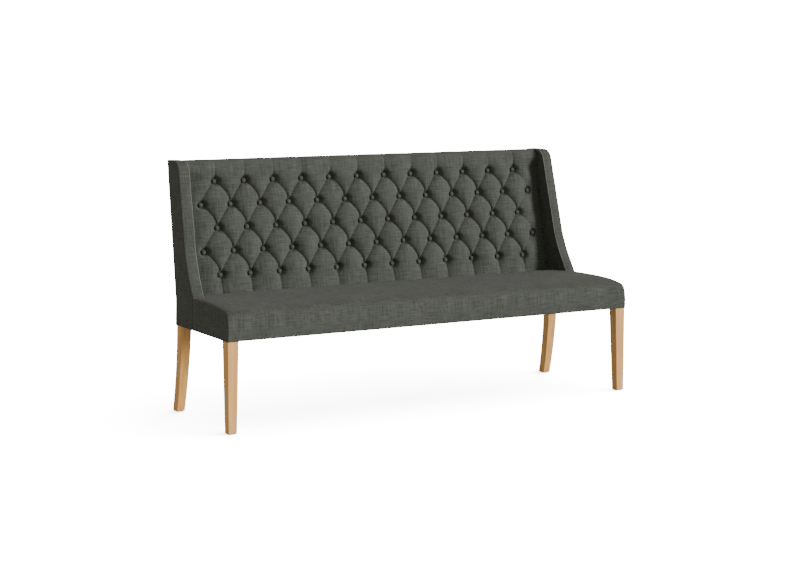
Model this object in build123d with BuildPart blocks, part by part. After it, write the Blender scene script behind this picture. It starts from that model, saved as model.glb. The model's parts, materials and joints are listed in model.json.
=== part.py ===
from build123d import *
import math
import os

# Dining sofa: a sprung bench seat on four oak legs, with a deep-buttoned back between
# two padded wings. Millimetres, +Z up, front towards -Y, +X to the sitter's left.
# The origin lies on the floor, midway between front and rear and between the sides.

# Overall sizes
overall_width = 1800.0
overall_depth = 600.5
leg_height = 343.0
front_bulge = 3.0
rear_narrowing = 18.8
base_depth = 501.0
rear_knee_depth = 505.0
top_narrowing = 15.5
upholstery_height = 632.0
small_gap = 0.3
overrun = 20.0

# Covers and padding
cover_thickness = 2.0
wadding_thickness = 5.0
wing_thickness = 45.0

# Seat, measured from the front face and from the underside of the upholstery
front_face_height = 76.0
front_round_depth = 36.0
front_round_height = 108.0
seat_front_height = 114.0
seat_height = 124.0
seat_back_height = 118.0
seat_crown = 10.0
front_round_bow = 9.0
seat_station_shares = (1.0, 0.992, 0.97, 0.93, 0.84, 0.6, 0.3, 0.0)
seat_rise_shares = (0.0, 0.45, 0.68, 0.82, 0.92, 0.98, 1.0, 1.0)

# Wing outline
wing_foot_depth = 331.0
wing_foot_height = 118.0
wing_flare_angle = 30.5
wing_rake_angle = 13.5
wing_top_depth = 497.0
wing_top_drop = 2.0
wing_bend_radius = 480.0
wing_corner_radius = 34.0
wing_edge_round = 7.0

# Buttoned back
back_rake_angle = 10.69
back_line_depth = 531.2
back_line_height = 545.4
button_pitch_share = 0.0708333
button_row_pitch = 91.1
short_row_buttons = 12
button_rows = 5
back_thickness = 58.0
roll_radius = 38.0
board_thickness = 16.0
pit_depth = 6.0
pit_width = 22.0
pleat_rise = 9.0
tuft_height = 24.0
least_bow = 0.6
pleat_width = 2.0
roll_start_rise = 50.0
pad_bottom_drop = 90.0
tuft_end_draw = 3.0
roll_pleat_depth = 8.0
roll_turn_shares = (1.0, 0.84, 0.68, 0.52, 0.36, 0.2, 0.08)
top_rise_shares = (1.0, 0.62, 0.26)
row_shares = (0.0, 0.14, 0.36, 0.64, 0.86)
bottom_rise_shares = (0.0, 0.14, 0.45, 1.0)

# Buttons and their twine
button_radius = 10.5
button_rim = 2.2
button_dome = 3.6
button_lift = 1.6
shank_clearance = 1.3
shank_radius = 3.0
twine_radius = 0.9
twine_hole_radius = 1.6
toggle_radius = 7.0
toggle_thickness = 3.0

# Timber frame
rail_thickness = 25.0
rail_lift = 3.0
rail_height = 64.0
panel_thickness = 15.0
panel_seat_height = 85.0
rear_frame_room = 57.0
rear_rail_thickness = 27.0
post_width = 45.0
upright_width = 40.0
upright_columns = (-7.5, -2.5, 2.5, 7.5)
top_rail_height = 38.0
stay_rail_rise = -446.0
stay_rail_height = 60.0
cross_rail_height = 45.0
cross_rail_shares = (-0.36, 0.36)
corner_block_leg = 62.0
screw_place_share = 0.33

# Seat suspension
spring_wire_radius = 1.9
spring_count = 11
spring_width = 46.0
spring_turn_radius = 10.5
spring_turns = 19
spring_field_share = 0.88
clip_length = 22.0
clip_width = 12.0
hessian_thickness = 1.5
clip_thickness = 6.0

# Legs and their fixings
leg_top = 45.0
leg_foot = 34.0
leg_inset = 3.0
glide_thickness = 3.0
glide_width = 27.0
leg_arris = 1.5
rear_leg_thickness = 39.0
rear_leg_overhang = 17.0
rear_leg_middle_sweep = 16.0
rear_leg_foot_sweep = 50.0
plate_width = 38.0
bolt_radius = 4.0
bolt_reach = 40.0
screw_radius = 2.0
screw_head_radius = 4.0
screw_head_height = 3.0
screw_bite = 18.0
screw_land = 12.0
hole_clearance = 0.25
dust_cover_thickness = 1.2

# Derived places
half_width = overall_width / 2
button_pitch = overall_width * button_pitch_share
rear_rail_depth = rear_knee_depth - rear_frame_room
rear_leg_top_depth = rear_rail_depth + rear_rail_thickness + rear_leg_overhang
rear_leg_middle_depth = rear_leg_top_depth + rear_leg_middle_sweep
rear_leg_foot_depth = rear_leg_top_depth + rear_leg_foot_sweep
front_y = -overall_depth / 2 + front_bulge
toe_slope = rear_narrowing / base_depth
lean_slope = top_narrowing / upholstery_height
rail_bottom = leg_height + rail_lift
rail_top = rail_bottom + rail_height
rake_sine = math.sin(math.radians(back_rake_angle))
rake_cosine = math.cos(math.radians(back_rake_angle))
rake_tangent = math.tan(math.radians(back_rake_angle))
board_half = board_thickness / 2
shank_base = pit_depth - least_bow - shank_clearance
roll_centre = back_thickness - roll_radius
wing_top = upholstery_height - wing_top_drop
last_row_rise = -button_row_pitch * (button_rows - 1)
spring_deck = rail_top + clip_thickness + small_gap
front_rail_depth = cover_thickness + wadding_thickness
rail_middle_depth = front_rail_depth + rail_thickness / 2
panel_inner_gap = cover_thickness + panel_thickness + small_gap

os.makedirs("parts", exist_ok=True)


def save(piece, name):
    """Label a finished builder and write its STEP file."""
    piece.part.label = name
    export_step(piece.part, f"parts/{name}.step")


def save_pair(right, name):
    """Write the right-hand piece and its mirror image on the left."""
    with BuildPart() as left:
        mirror(right.part, about=Plane.YZ)
    save(right, f"right_{name}")
    save(left, f"left_{name}")


def across(share, depth, height):
    """X of a point at a share of the half width: both sides close in towards rear and top."""
    return share * (half_width - toe_slope * depth - lean_slope * height)


def side_plane(inward=0.0):
    """Plane of the right-hand side; sketches on it use depth from the front and height."""
    spread = math.sqrt(1 + toe_slope**2 + lean_slope**2)
    return Plane(
        origin=(half_width - inward * spread, front_y, leg_height),
        x_dir=(-toe_slope, 1, 0),
        z_dir=(1, toe_slope, lean_slope),
    )


def station_plane(share):
    """Cross-section plane at a share of the half width, turned with the sides."""
    return Plane(
        origin=(share * half_width, front_y, leg_height),
        x_dir=(-toe_slope * share, 1, 0),
        z_dir=(1, toe_slope * share, lean_slope * share),
    )


back_plane = Plane(
    origin=(0, front_y + back_line_depth, leg_height + back_line_height),
    x_dir=(1, 0, 0),
    z_dir=(0, -rake_cosine, rake_sine),
)


def back_depth_at(height, behind):
    """Depth of the raked plane that lies this far behind the button line."""
    return back_line_depth + (height - back_line_height) * rake_tangent + behind / rake_cosine


def back_height_at(depth, behind):
    """Height at which that raked plane reaches a depth."""
    return back_line_height + (depth - back_line_depth - behind / rake_cosine) / rake_tangent


def back_point(x, rise, behind):
    """Point on the back: along its width, up its slope and behind the button line."""
    return back_plane.from_local_coords(Vector(x, rise, -behind))


def drawn_in(x, place):
    """Width position at a place, closed in with the sides from the first button row."""
    reference = across(1, back_line_depth, back_line_height - 2 * button_row_pitch)
    here = across(1, place.Y - front_y, place.Z - leg_height)
    return x * here / reference


def trim_to_sides(inward):
    """Cut the current part off at both sides, this far inside the outer faces."""
    right = side_plane(inward)
    split(bisect_by=right, keep=Keep.BOTTOM)
    left = Plane(
        origin=(-right.origin.X, right.origin.Y, right.origin.Z),
        x_dir=(toe_slope, 1, 0),
        z_dir=(1, -toe_slope, -lean_slope),
    )
    split(bisect_by=left, keep=Keep.TOP)


def button_places():
    """Width and rise of every button; odd rows are short, even rows one longer."""
    places = []
    for row in range(button_rows):
        count = short_row_buttons + row % 2
        rise = -row * button_row_pitch
        for number in range(count):
            x = (number - (count - 1) / 2) * button_pitch
            centre = back_point(0, rise, 0)
            places.append((drawn_in(x, centre), rise))
    return places


button_spots = button_places()


# Seat upholstery
def seat_outline(plane, inset, rise_share, floor):
    """Cross-section of the seat on one station plane."""
    drop = seat_crown * (1 - rise_share)
    rear_line = tuft_height - pit_depth - least_bow - small_gap * 2
    middle_height = seat_height - drop - inset
    front_height = seat_front_height - drop - inset
    rear_height = seat_back_height - drop - inset
    with BuildSketch(plane) as sketch:
        with BuildLine():
            bottom_front = (inset, floor)
            face_top = (inset, front_face_height - drop)
            round_middle = (
                inset + front_round_bow,
                (front_face_height + front_round_height) / 2 - drop + front_round_bow - inset / 2,
            )
            round_top = (inset + front_round_depth, front_height - (seat_front_height - front_round_height))
            rear_depth = back_depth_at(rear_height, -rear_line) - inset
            top_middle = ((round_top[0] + rear_depth) / 2, middle_height)
            rear_top = (rear_depth, rear_height)
            rear_bottom = (back_depth_at(floor, -rear_line) - inset, floor)
            face_middle = (inset - front_bulge, (floor + face_top[1]) / 2)
            ThreePointArc(bottom_front, face_middle, face_top)
            ThreePointArc(face_top, round_middle, round_top)
            ThreePointArc(round_top, top_middle, rear_top)
            Line(rear_top, rear_bottom)
            Line(rear_bottom, bottom_front)
        make_face()
    return sketch.sketch


def seat_form(inset, floor):
    """Whole crowned seat between the side faces, as one loft from side to side."""
    shares = list(zip(seat_station_shares, seat_rise_shares))
    stations = [(-share, rise) for share, rise in shares] + shares[-2::-1]
    with BuildPart() as form:
        sections = []
        for share, rise in stations:
            scaled = share * (half_width - inset) / half_width
            sections.append(seat_outline(station_plane(scaled), inset, rise, floor))
        loft(sections, ruled=True)
    return form.part


def wing_clear_block(front):
    """Space that a wing takes out of the seat, as a block behind the wing's foot."""
    with BuildPart() as block:
        with BuildSketch(side_plane(-overrun)):
            with Locations((front + overall_depth / 2, seat_height / 2)):
                Rectangle(overall_depth, seat_height * 2)
        extrude(amount=-(wing_thickness + overrun + small_gap))
        mirror(about=Plane.YZ)
    return block.part


def panel_clear_block():
    """Space of the plywood side panels in front of the wings, with the cover outside them."""
    with BuildPart() as block:
        with BuildSketch(side_plane(cover_thickness)):
            Rectangle(
                overall_depth * 2,
                panel_seat_height + small_gap,
                align=(Align.CENTER, Align.MIN),
            )
        extrude(amount=-panel_thickness - small_gap)
        mirror(about=Plane.YZ)
    return block.part


def make_seat():
    """Cover, wadding and foam of the seat, each inside the last."""
    deck_height = spring_deck + hessian_thickness - leg_height + small_gap
    inner_inset = cover_thickness + wadding_thickness
    outer = seat_form(0, 0)
    inner = seat_form(cover_thickness, -overrun)
    core = seat_form(inner_inset, -overrun)
    wings = wing_clear_block(wing_foot_depth - small_gap)
    panels = panel_clear_block()
    with BuildPart() as behind_front:
        with BuildSketch(Plane.XY.offset(leg_height - overrun * 2)):
            with Locations((0, front_y + wing_foot_depth - small_gap)):
                Rectangle(overall_width * 2, overall_depth, align=(Align.CENTER, Align.MIN))
        extrude(amount=overrun * 2 + deck_height)
    with BuildPart() as seat_cover:
        add(outer)
        add(inner, mode=Mode.SUBTRACT)
        add(wings, mode=Mode.SUBTRACT)
        add(behind_front.part, mode=Mode.SUBTRACT)
    save(seat_cover, "seat_cover")
    deck_plane = Plane.XY.offset(leg_height + deck_height)
    with BuildPart() as top_wadding:
        add(inner)
        split(bisect_by=deck_plane, keep=Keep.TOP)
        add(core, mode=Mode.SUBTRACT)
        add(wings, mode=Mode.SUBTRACT)
        add(panels, mode=Mode.SUBTRACT)
    with BuildPart() as front_wadding:
        add(inner)
        split(bisect_by=deck_plane, keep=Keep.BOTTOM)
        split(bisect_by=Plane.XY.offset(rail_bottom), keep=Keep.TOP)
        split(bisect_by=Plane.XZ.offset(-front_y - rail_middle_depth), keep=Keep.TOP)
        add(core, mode=Mode.SUBTRACT)
        add(panels, mode=Mode.SUBTRACT)
    with BuildPart() as seat_wadding:
        add(top_wadding.part)
        add(front_wadding.part)
    save(seat_wadding, "seat_wadding")
    with BuildPart() as seat_foam:
        add(core)
        add(wings, mode=Mode.SUBTRACT)
        add(panels, mode=Mode.SUBTRACT)
        split(bisect_by=deck_plane, keep=Keep.TOP)
    save(seat_foam, "seat_foam")


# Wings
def wing_outline(plane, inset):
    """Closed outline of a wing on a side plane, its padded front and top drawn in by inset."""
    flare = math.radians(wing_flare_angle)
    rake = math.radians(wing_rake_angle)
    top = wing_top - inset
    foot_depth = wing_foot_depth + inset
    flare_start = wing_foot_depth + inset / math.cos(flare) - wing_foot_height * math.tan(flare)
    rake_start = wing_top_depth + inset / math.cos(rake) - wing_top * math.tan(rake)
    foot_height = (foot_depth - flare_start) / math.tan(flare)
    bend_height = (rake_start - flare_start) / (math.tan(flare) - math.tan(rake))
    rear_behind = back_thickness - cover_thickness
    rear = rear_knee_depth - cover_thickness
    corner = wing_corner_radius - inset
    with BuildSketch(plane) as sketch:
        with BuildLine():
            FilletPolyline(
                (foot_depth, 0),
                (foot_depth, foot_height),
                (flare_start + bend_height * math.tan(flare), bend_height),
                (rake_start + top * math.tan(rake), top),
                (back_depth_at(top, rear_behind), top),
                (rear, back_height_at(rear, rear_behind)),
                (rear, 0),
                radius=(0, 0, wing_bend_radius + inset, corner, corner, 0, 0),
                close=True,
            )
        make_face()
    return sketch.sketch


def wing_form(inset):
    """Padded wing with softened front edges, as a ruled loft through its thickness."""
    half_round = wing_edge_round * (1 - math.sqrt(0.5))
    depths = (0, half_round, wing_edge_round)
    draws = (wing_edge_round, half_round, 0)
    outer_side = [(inset + depth, inset + draw) for depth, draw in zip(depths, draws)]
    inner_side = [(wing_thickness - depth, draw) for depth, draw in reversed(outer_side)]
    with BuildPart() as form:
        sections = [
            wing_outline(side_plane(depth), draw) for depth, draw in outer_side + inner_side
        ]
        loft(sections, ruled=True)
    return form.part


def side_block(front, rear, bottom, top, outer, inner):
    """Block on the right-hand side, from an outer to an inner distance from the side face."""
    with BuildPart() as block:
        with BuildSketch(side_plane(outer)):
            with Locations(((front + rear) / 2, (bottom + top) / 2)):
                Rectangle(rear - front, top - bottom)
        extrude(amount=outer - inner)
    return block.part


def make_wings():
    """Plywood side panels, and the foam and cover of each wing."""
    panel_inner = cover_thickness + panel_thickness
    cover_inner = wing_thickness - cover_thickness
    rail_clear = rail_top - leg_height + cover_thickness
    rear = overall_depth + overrun
    with BuildPart() as side_panel:
        extrude(
            wing_outline(side_plane(cover_thickness), wing_edge_round + cover_thickness),
            amount=-panel_thickness,
        )
        with BuildSketch(side_plane(cover_thickness)):
            with Locations((cover_thickness + wadding_thickness, rail_lift)):
                Rectangle(
                    wing_foot_depth + wing_edge_round * 2,
                    panel_seat_height - rail_lift,
                    align=(Align.MIN, Align.MIN),
                )
        extrude(amount=-panel_thickness)
        split(bisect_by=Plane.XY.offset(rail_bottom), keep=Keep.TOP)
    save_pair(side_panel, "side_panel")
    inner = wing_form(cover_thickness)
    with BuildPart() as wing_cover:
        add(wing_form(0))
        add(inner, mode=Mode.SUBTRACT)
        add(
            side_block(0, wing_foot_depth + overrun, -overrun, panel_seat_height + small_gap,
                       cover_thickness, wing_thickness + overrun),
            mode=Mode.SUBTRACT,
        )
        add(
            side_block(0, rear, -overrun, rail_clear, cover_inner - small_gap, wing_thickness + overrun),
            mode=Mode.SUBTRACT,
        )
    save_pair(wing_cover, "wing_cover")
    with BuildPart() as wing_foam:
        add(inner)
        split(bisect_by=Plane.XY.offset(rail_top + small_gap), keep=Keep.TOP)
        split(bisect_by=side_plane(panel_inner), keep=Keep.BOTTOM)
    save_pair(wing_foam, "wing_foam")


# Buttoned back pad
def pad_plane(rise, turn=0.0):
    """Section plane across the back; beyond the roll's start it turns about the roll's centre."""
    centre = back_point(0, rise, roll_centre)
    level = Plane(origin=centre, x_dir=(1, 0, 0), z_dir=back_plane.y_dir)
    return level.rotated((-turn, 0, 0))


def pad_vertices(row, progress):
    """Width positions of the pleats between a row and the next: 0 at the row, 1 at the next."""
    half_pit = pit_width / 2
    opening = half_pit + (button_pitch / 2 - pit_width) * progress
    tail = pleat_width + (pit_width - pleat_width) * progress
    if row % 2 == 0:
        count = short_row_buttons
        edge = (count - 1) / 2 * button_pitch + opening
        extra = [edge + tail]
    else:
        count = short_row_buttons + 1
        edge = (count - 1) / 2 * button_pitch
        extra = []
    positions = []
    for number in range(count):
        x = (number - (count - 1) / 2) * button_pitch
        positions.append(x - opening)
        positions.append(x + opening)
    if row % 2 == 1:
        ends = (edge + half_pit - (button_pitch / 2 - pleat_width) * progress)
        positions = [-ends] + positions[1:-1] + [ends]
        return positions
    return [-position for position in extra] + positions + extra


def pad_outline(plane, positions, base, bows):
    """Closed section of the pad: pleats at the base radius, a bowed tuft between each pair."""
    def place(x, radius):
        centre = plane.from_local_coords(Vector(0, -radius, 0))
        return (drawn_in(x, centre), -radius)

    def end_place(radius):
        centre = plane.from_local_coords(Vector(0, -radius, 0))
        edge = across(1, centre.Y - front_y, centre.Z - leg_height) - wing_thickness - small_gap
        return (edge, -radius)

    end_base = base - tuft_end_draw
    right_end = end_place(end_base)
    left_end = (-right_end[0], right_end[1])
    points = [left_end] + [place(x, base) for x in positions] + [right_end]
    rear_right = end_place(board_half)
    rear_left = (-rear_right[0], rear_right[1])
    with BuildSketch(plane) as sketch:
        with BuildLine():
            for start, end, bow in zip(points, points[1:], bows):
                middle = ((start[0] + end[0]) / 2, (start[1] + end[1]) / 2 - bow)
                ThreePointArc(start, middle, end)
            Line(right_end, rear_right)
            Line(rear_right, rear_left)
            Line(rear_left, left_end)
        make_face()
    return sketch.sketch


def tuft_bows(positions, height):
    """Bow of each tuft from its width: flat across a pit, full across a whole diamond."""
    end = across(1, back_line_depth, back_line_height) - wing_thickness
    places = [-end] + positions + [end]
    widest = button_pitch - pit_width
    bows = []
    for left, right in zip(places, places[1:]):
        share = (right - left - pit_width) / (widest - pit_width)
        bows.append(max(least_bow, height * min(share, 1.0)))
    return bows


def make_pad():
    """Front pad of the back: diamond tufts between the button rows, pleats over the roll."""
    pit_base = roll_centre - pit_depth
    sections = []

    def add_section(plane, row, progress, base, height):
        positions = pad_vertices(row, progress)
        sections.append(pad_outline(plane, positions, base, tuft_bows(positions, height)))

    top_base = roll_radius - roll_pleat_depth
    for turn_share in roll_turn_shares:
        turn = 180 * turn_share
        base = top_base + roll_pleat_depth * turn_share / 2
        add_section(pad_plane(roll_start_rise, turn), 0, 0.0, base, roll_radius - base)
    for share in top_rise_shares:
        base = pit_base + (top_base - pit_base) * share
        height = tuft_height + (roll_radius - top_base - tuft_height) * share
        add_section(pad_plane(roll_start_rise * share), 0, 0.0, base, height)
    for row in range(button_rows - 1):
        for progress in row_shares:
            rise = -(row + progress) * button_row_pitch
            flat = min(progress, 1 - progress) / row_shares[1]
            lift = math.sin(math.pi * progress) if flat > 1 else 0.0
            add_section(pad_plane(rise), row, progress, pit_base + pleat_rise * lift, tuft_height)
    seat_base = pit_base + pleat_rise
    for share in bottom_rise_shares:
        base = pit_base + (seat_base - pit_base) * share
        rise = last_row_rise - pad_bottom_drop * share
        add_section(pad_plane(rise), 0, 0.0, base, roll_radius - least_bow * 2 - base)
    with BuildPart() as tufted_back_pad:
        loft(sections, ruled=True)
    return tufted_back_pad


def make_back():
    """Pad, plywood board, buttons, twine and toggles of the back."""
    pad = make_pad()
    board_front = roll_centre - board_half
    board_rear = roll_centre + board_half
    rim_top = button_rim - button_lift
    dome_radius = (button_radius**2 + button_dome**2) / (button_dome * 2)
    with BuildPart() as tufted_back_pad:
        add(pad.part)
        with BuildSketch(back_plane.offset(-board_front - overrun)):
            with Locations(*button_spots):
                Circle(twine_hole_radius)
        extrude(amount=overrun * 2, mode=Mode.SUBTRACT)
    save(tufted_back_pad, "tufted_back_pad")
    with BuildPart() as back_board:
        with BuildSketch(back_plane.offset(-board_rear)):
            with Locations((0, roll_start_rise - small_gap)):
                Rectangle(overall_width, upholstery_height, align=(Align.CENTER, Align.MAX))
            with Locations(*button_spots):
                Circle(twine_hole_radius, mode=Mode.SUBTRACT)
        extrude(amount=board_thickness)
        trim_to_sides(wing_thickness + small_gap)
        split(bisect_by=Plane.XY.offset(rail_top), keep=Keep.TOP)
    save(back_board, "back_board")
    with BuildPart() as button:
        with BuildSketch(Plane.XZ):
            with BuildLine():
                Polyline(
                    (0, -shank_base),
                    (shank_radius, -shank_base),
                    (shank_radius, -button_lift),
                    (button_radius, -button_lift),
                    (button_radius, rim_top),
                )
                RadiusArc((button_radius, rim_top), (0, rim_top + button_dome), -dome_radius)
                Line((0, rim_top + button_dome), (0, -shank_base))
            make_face()
        revolve(axis=Axis.Z)
    with BuildPart() as back_buttons:
        add([back_plane.location * Location((x, rise, 0)) * button.part for x, rise in button_spots])
    save(back_buttons, "back_buttons")
    with BuildPart() as button_twines:
        with BuildSketch(back_plane.offset(-board_rear - toggle_thickness - small_gap)):
            with Locations(*button_spots):
                Circle(twine_radius)
        extrude(amount=board_rear + toggle_thickness - shank_base)
    save(button_twines, "button_twines")
    with BuildPart() as twine_toggles:
        with BuildSketch(back_plane.offset(-board_rear - toggle_thickness)):
            with Locations(*button_spots):
                Circle(toggle_radius)
                Circle(twine_hole_radius, mode=Mode.SUBTRACT)
        extrude(amount=toggle_thickness)
    save(twine_toggles, "twine_toggles")


# Timber back frame
def make_back_frame():
    """Posts, uprights and rails that carry the back board."""
    front_behind = roll_centre + board_half
    rear_behind = back_thickness - cover_thickness
    frame_depth = rear_behind - front_behind
    base_front = rear_rail_depth + rear_rail_thickness
    base_rear = rear_knee_depth - cover_thickness
    top_height = back_line_height + roll_start_rise * rake_cosine
    roll_end = Plane(
        origin=back_point(0, roll_start_rise - small_gap, 0),
        x_dir=(1, 0, 0),
        z_dir=back_plane.y_dir,
    )
    post_front = base_front + small_gap
    with BuildPart() as back_post:
        with BuildSketch(Plane.YZ.offset(half_width / 2)):
            with BuildLine():
                Polyline(
                    (front_y + post_front, rail_bottom),
                    (front_y + post_front, leg_height + back_height_at(post_front, front_behind)),
                    (front_y + back_depth_at(top_height, front_behind), leg_height + top_height),
                    (front_y + back_depth_at(top_height, rear_behind), leg_height + top_height),
                    (front_y + base_rear, leg_height + back_height_at(base_rear, rear_behind)),
                    (front_y + base_rear, rail_bottom),
                    close=True,
                )
            make_face()
        extrude(amount=half_width)
        split(bisect_by=side_plane(wing_thickness + small_gap), keep=Keep.BOTTOM)
        split(bisect_by=side_plane(wing_thickness + post_width), keep=Keep.TOP)
        split(bisect_by=roll_end, keep=Keep.BOTTOM)
    save_pair(back_post, "back_post")
    inner_edge = wing_thickness + post_width + small_gap
    with BuildPart() as top_rail:
        with BuildSketch(back_plane.offset(-rear_behind)):
            with Locations((0, roll_start_rise - small_gap)):
                Rectangle(overall_width, top_rail_height, align=(Align.CENTER, Align.MAX))
        extrude(amount=frame_depth)
        trim_to_sides(inner_edge)
    save(top_rail, "top_rail")
    with BuildPart() as stay_rail:
        with BuildSketch(back_plane.offset(-rear_behind)):
            with Locations((0, stay_rail_rise)):
                Rectangle(overall_width, stay_rail_height, align=(Align.CENTER, Align.MIN))
        extrude(amount=frame_depth)
        trim_to_sides(inner_edge)
    save(stay_rail, "stay_rail")
    upright_bottom = stay_rail_rise + stay_rail_height
    upright_top = roll_start_rise - small_gap - top_rail_height
    with BuildPart() as back_uprights:
        with BuildSketch(back_plane.offset(-rear_behind)):
            for column in upright_columns:
                with Locations((column * button_pitch / 2, upright_bottom)):
                    Rectangle(
                        upright_width,
                        upright_top - upright_bottom,
                        align=(Align.CENTER, Align.MIN),
                    )
        extrude(amount=frame_depth)
    save(back_uprights, "back_uprights")
    with BuildPart() as outside_back_cover:
        with BuildSketch(Plane.YZ.offset(-overall_width)):
            with BuildLine():
                Polyline(
                    (front_y + base_rear, leg_height),
                    (front_y + base_rear, leg_height + back_height_at(base_rear, rear_behind)),
                    (front_y + back_depth_at(top_height, rear_behind), leg_height + top_height),
                    (front_y + back_depth_at(top_height, back_thickness), leg_height + top_height),
                    (front_y + rear_knee_depth,
                     leg_height + back_height_at(rear_knee_depth, back_thickness)),
                    (front_y + rear_knee_depth, leg_height),
                    close=True,
                )
            make_face()
        extrude(amount=overall_width * 2)
        trim_to_sides(0)
        split(bisect_by=roll_end, keep=Keep.BOTTOM)
    save(outside_back_cover, "outside_back_cover")


# Seat frame
def base_block(x, front, width, depth, bottom, top):
    """Upright block in the seat frame, placed by its middle in X and its front in depth."""
    with BuildPart() as block:
        with BuildSketch(Plane.XY.offset(bottom)):
            with Locations((x, front_y + front)):
                Rectangle(width, depth, align=(Align.CENTER, Align.MIN))
        extrude(amount=top - bottom)
    return block.part


def leg_spots():
    """Middle of each leg's top in X and Y, for the front and rear leg on the right."""
    front_depth = leg_inset + leg_top / 2
    rear_depth = rear_leg_top_depth - rear_leg_thickness / 2
    return [
        (across(1, depth, 0) - leg_top / 2, front_y + depth)
        for depth in (front_depth, rear_depth)
    ]


front_leg_spot, rear_leg_spot = leg_spots()
rear_bolt_spot = (rear_leg_spot[0], front_y + rear_rail_depth + rear_rail_thickness / 2)


def both_sides(spots):
    """The same spots on the right and, mirrored, on the left."""
    return [(x, y) for x, y in spots] + [(-x, y) for x, y in spots]


def corner_blocks_solid():
    """Triangular blocks glued into the four inside corners of the seat frame."""
    side_inner = panel_inner_gap + rail_thickness + small_gap
    front_inner = front_rail_depth + rail_thickness
    rear_inner = rear_rail_depth
    block_top = rail_bottom + cross_rail_height
    block_height = rail_lift + cross_rail_height
    front_corner = (
        across(1, front_inner + corner_block_leg, block_height) - side_inner,
        front_y + front_inner,
    )
    rear_corner = (across(1, rear_inner, block_height) - side_inner, front_y + rear_inner)
    with BuildPart() as blocks:
        with BuildSketch(Plane.XY.offset(rail_bottom)):
            for corner, turn in ((front_corner, 1), (rear_corner, -1)):
                x = corner[0] - small_gap
                y = corner[1] + small_gap * turn
                with BuildLine():
                    Polyline(
                        (x, y),
                        (x - corner_block_leg, y),
                        (x, y + corner_block_leg * turn),
                        close=True,
                    )
                make_face()
        extrude(amount=block_top - rail_bottom)
        mirror(about=Plane.YZ)
    return blocks.part


def block_screws(radius, start, length):
    """Cylinders along the corner block screws, from a start inside the block to their tips."""
    height = rail_bottom + cross_rail_height / 2
    front_inner = front_y + front_rail_depth + rail_thickness
    rear_inner = front_y + rear_rail_depth
    side_inner = panel_inner_gap + rail_thickness + small_gap
    x = across(1, rear_rail_depth, cross_rail_height) - side_inner - corner_block_leg * screw_place_share
    with BuildPart() as cylinders:
        with BuildSketch(Plane.XZ.offset(-front_inner - start)):
            with Locations((x, height), (-x, height)):
                Circle(radius)
        extrude(amount=length)
        with BuildSketch(Plane.XZ.offset(-rear_inner + start)):
            with Locations((x, height), (-x, height)):
                Circle(radius)
        extrude(amount=-length)
    return cylinders.part


def make_seat_frame():
    """Rails, cross rails, corner blocks and their screws."""
    bolt_holes = both_sides([front_leg_spot, rear_bolt_spot])
    screw_holes = block_screws(screw_radius + hole_clearance, screw_land, screw_land + screw_bite + small_gap)
    with BuildPart() as front_rail:
        add(base_block(0, front_rail_depth, overall_width, rail_thickness, rail_bottom, rail_top))
        trim_to_sides(panel_inner_gap)
        with BuildSketch(Plane.XY.offset(rail_bottom)):
            with Locations(*bolt_holes):
                Circle(bolt_radius + hole_clearance)
        extrude(amount=bolt_reach + small_gap, mode=Mode.SUBTRACT)
        add(screw_holes, mode=Mode.SUBTRACT)
    save(front_rail, "front_rail")
    with BuildPart() as rear_rail:
        add(base_block(0, rear_rail_depth, overall_width, rear_rail_thickness, rail_bottom, rail_top))
        trim_to_sides(panel_inner_gap)
        with BuildSketch(Plane.XY.offset(rail_bottom)):
            with Locations(*bolt_holes):
                Circle(bolt_radius + hole_clearance)
        extrude(amount=bolt_reach + small_gap, mode=Mode.SUBTRACT)
        add(screw_holes, mode=Mode.SUBTRACT)
    save(rear_rail, "rear_rail")
    side_rail_front = front_rail_depth + rail_thickness
    with BuildPart() as side_rail:
        add(
            base_block(
                half_width,
                side_rail_front,
                overall_width,
                rear_rail_depth - side_rail_front,
                rail_bottom,
                rail_top,
            )
        )
        split(bisect_by=side_plane(panel_inner_gap), keep=Keep.BOTTOM)
        split(bisect_by=side_plane(panel_inner_gap + rail_thickness), keep=Keep.TOP)
    save_pair(side_rail, "side_rail")
    with BuildPart() as cross_rails:
        for share in cross_rail_shares:
            add(
                base_block(
                    share * half_width,
                    front_rail_depth + rail_thickness,
                    rail_thickness,
                    rear_rail_depth - front_rail_depth - rail_thickness,
                    rail_bottom,
                    rail_bottom + cross_rail_height,
                )
            )
    save(cross_rails, "cross_rails")
    with BuildPart() as corner_blocks:
        add(corner_blocks_solid())
        add(screw_holes, mode=Mode.SUBTRACT)
        add(
            block_screws(screw_head_radius + hole_clearance, corner_block_leg, corner_block_leg - screw_land),
            mode=Mode.SUBTRACT,
        )
    save(corner_blocks, "corner_blocks")
    with BuildPart() as corner_screws:
        add(block_screws(screw_radius, screw_land, screw_land + screw_bite))
        add(block_screws(screw_head_radius, screw_land + screw_head_height, screw_head_height))
    save(corner_screws, "corner_screws")


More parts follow.
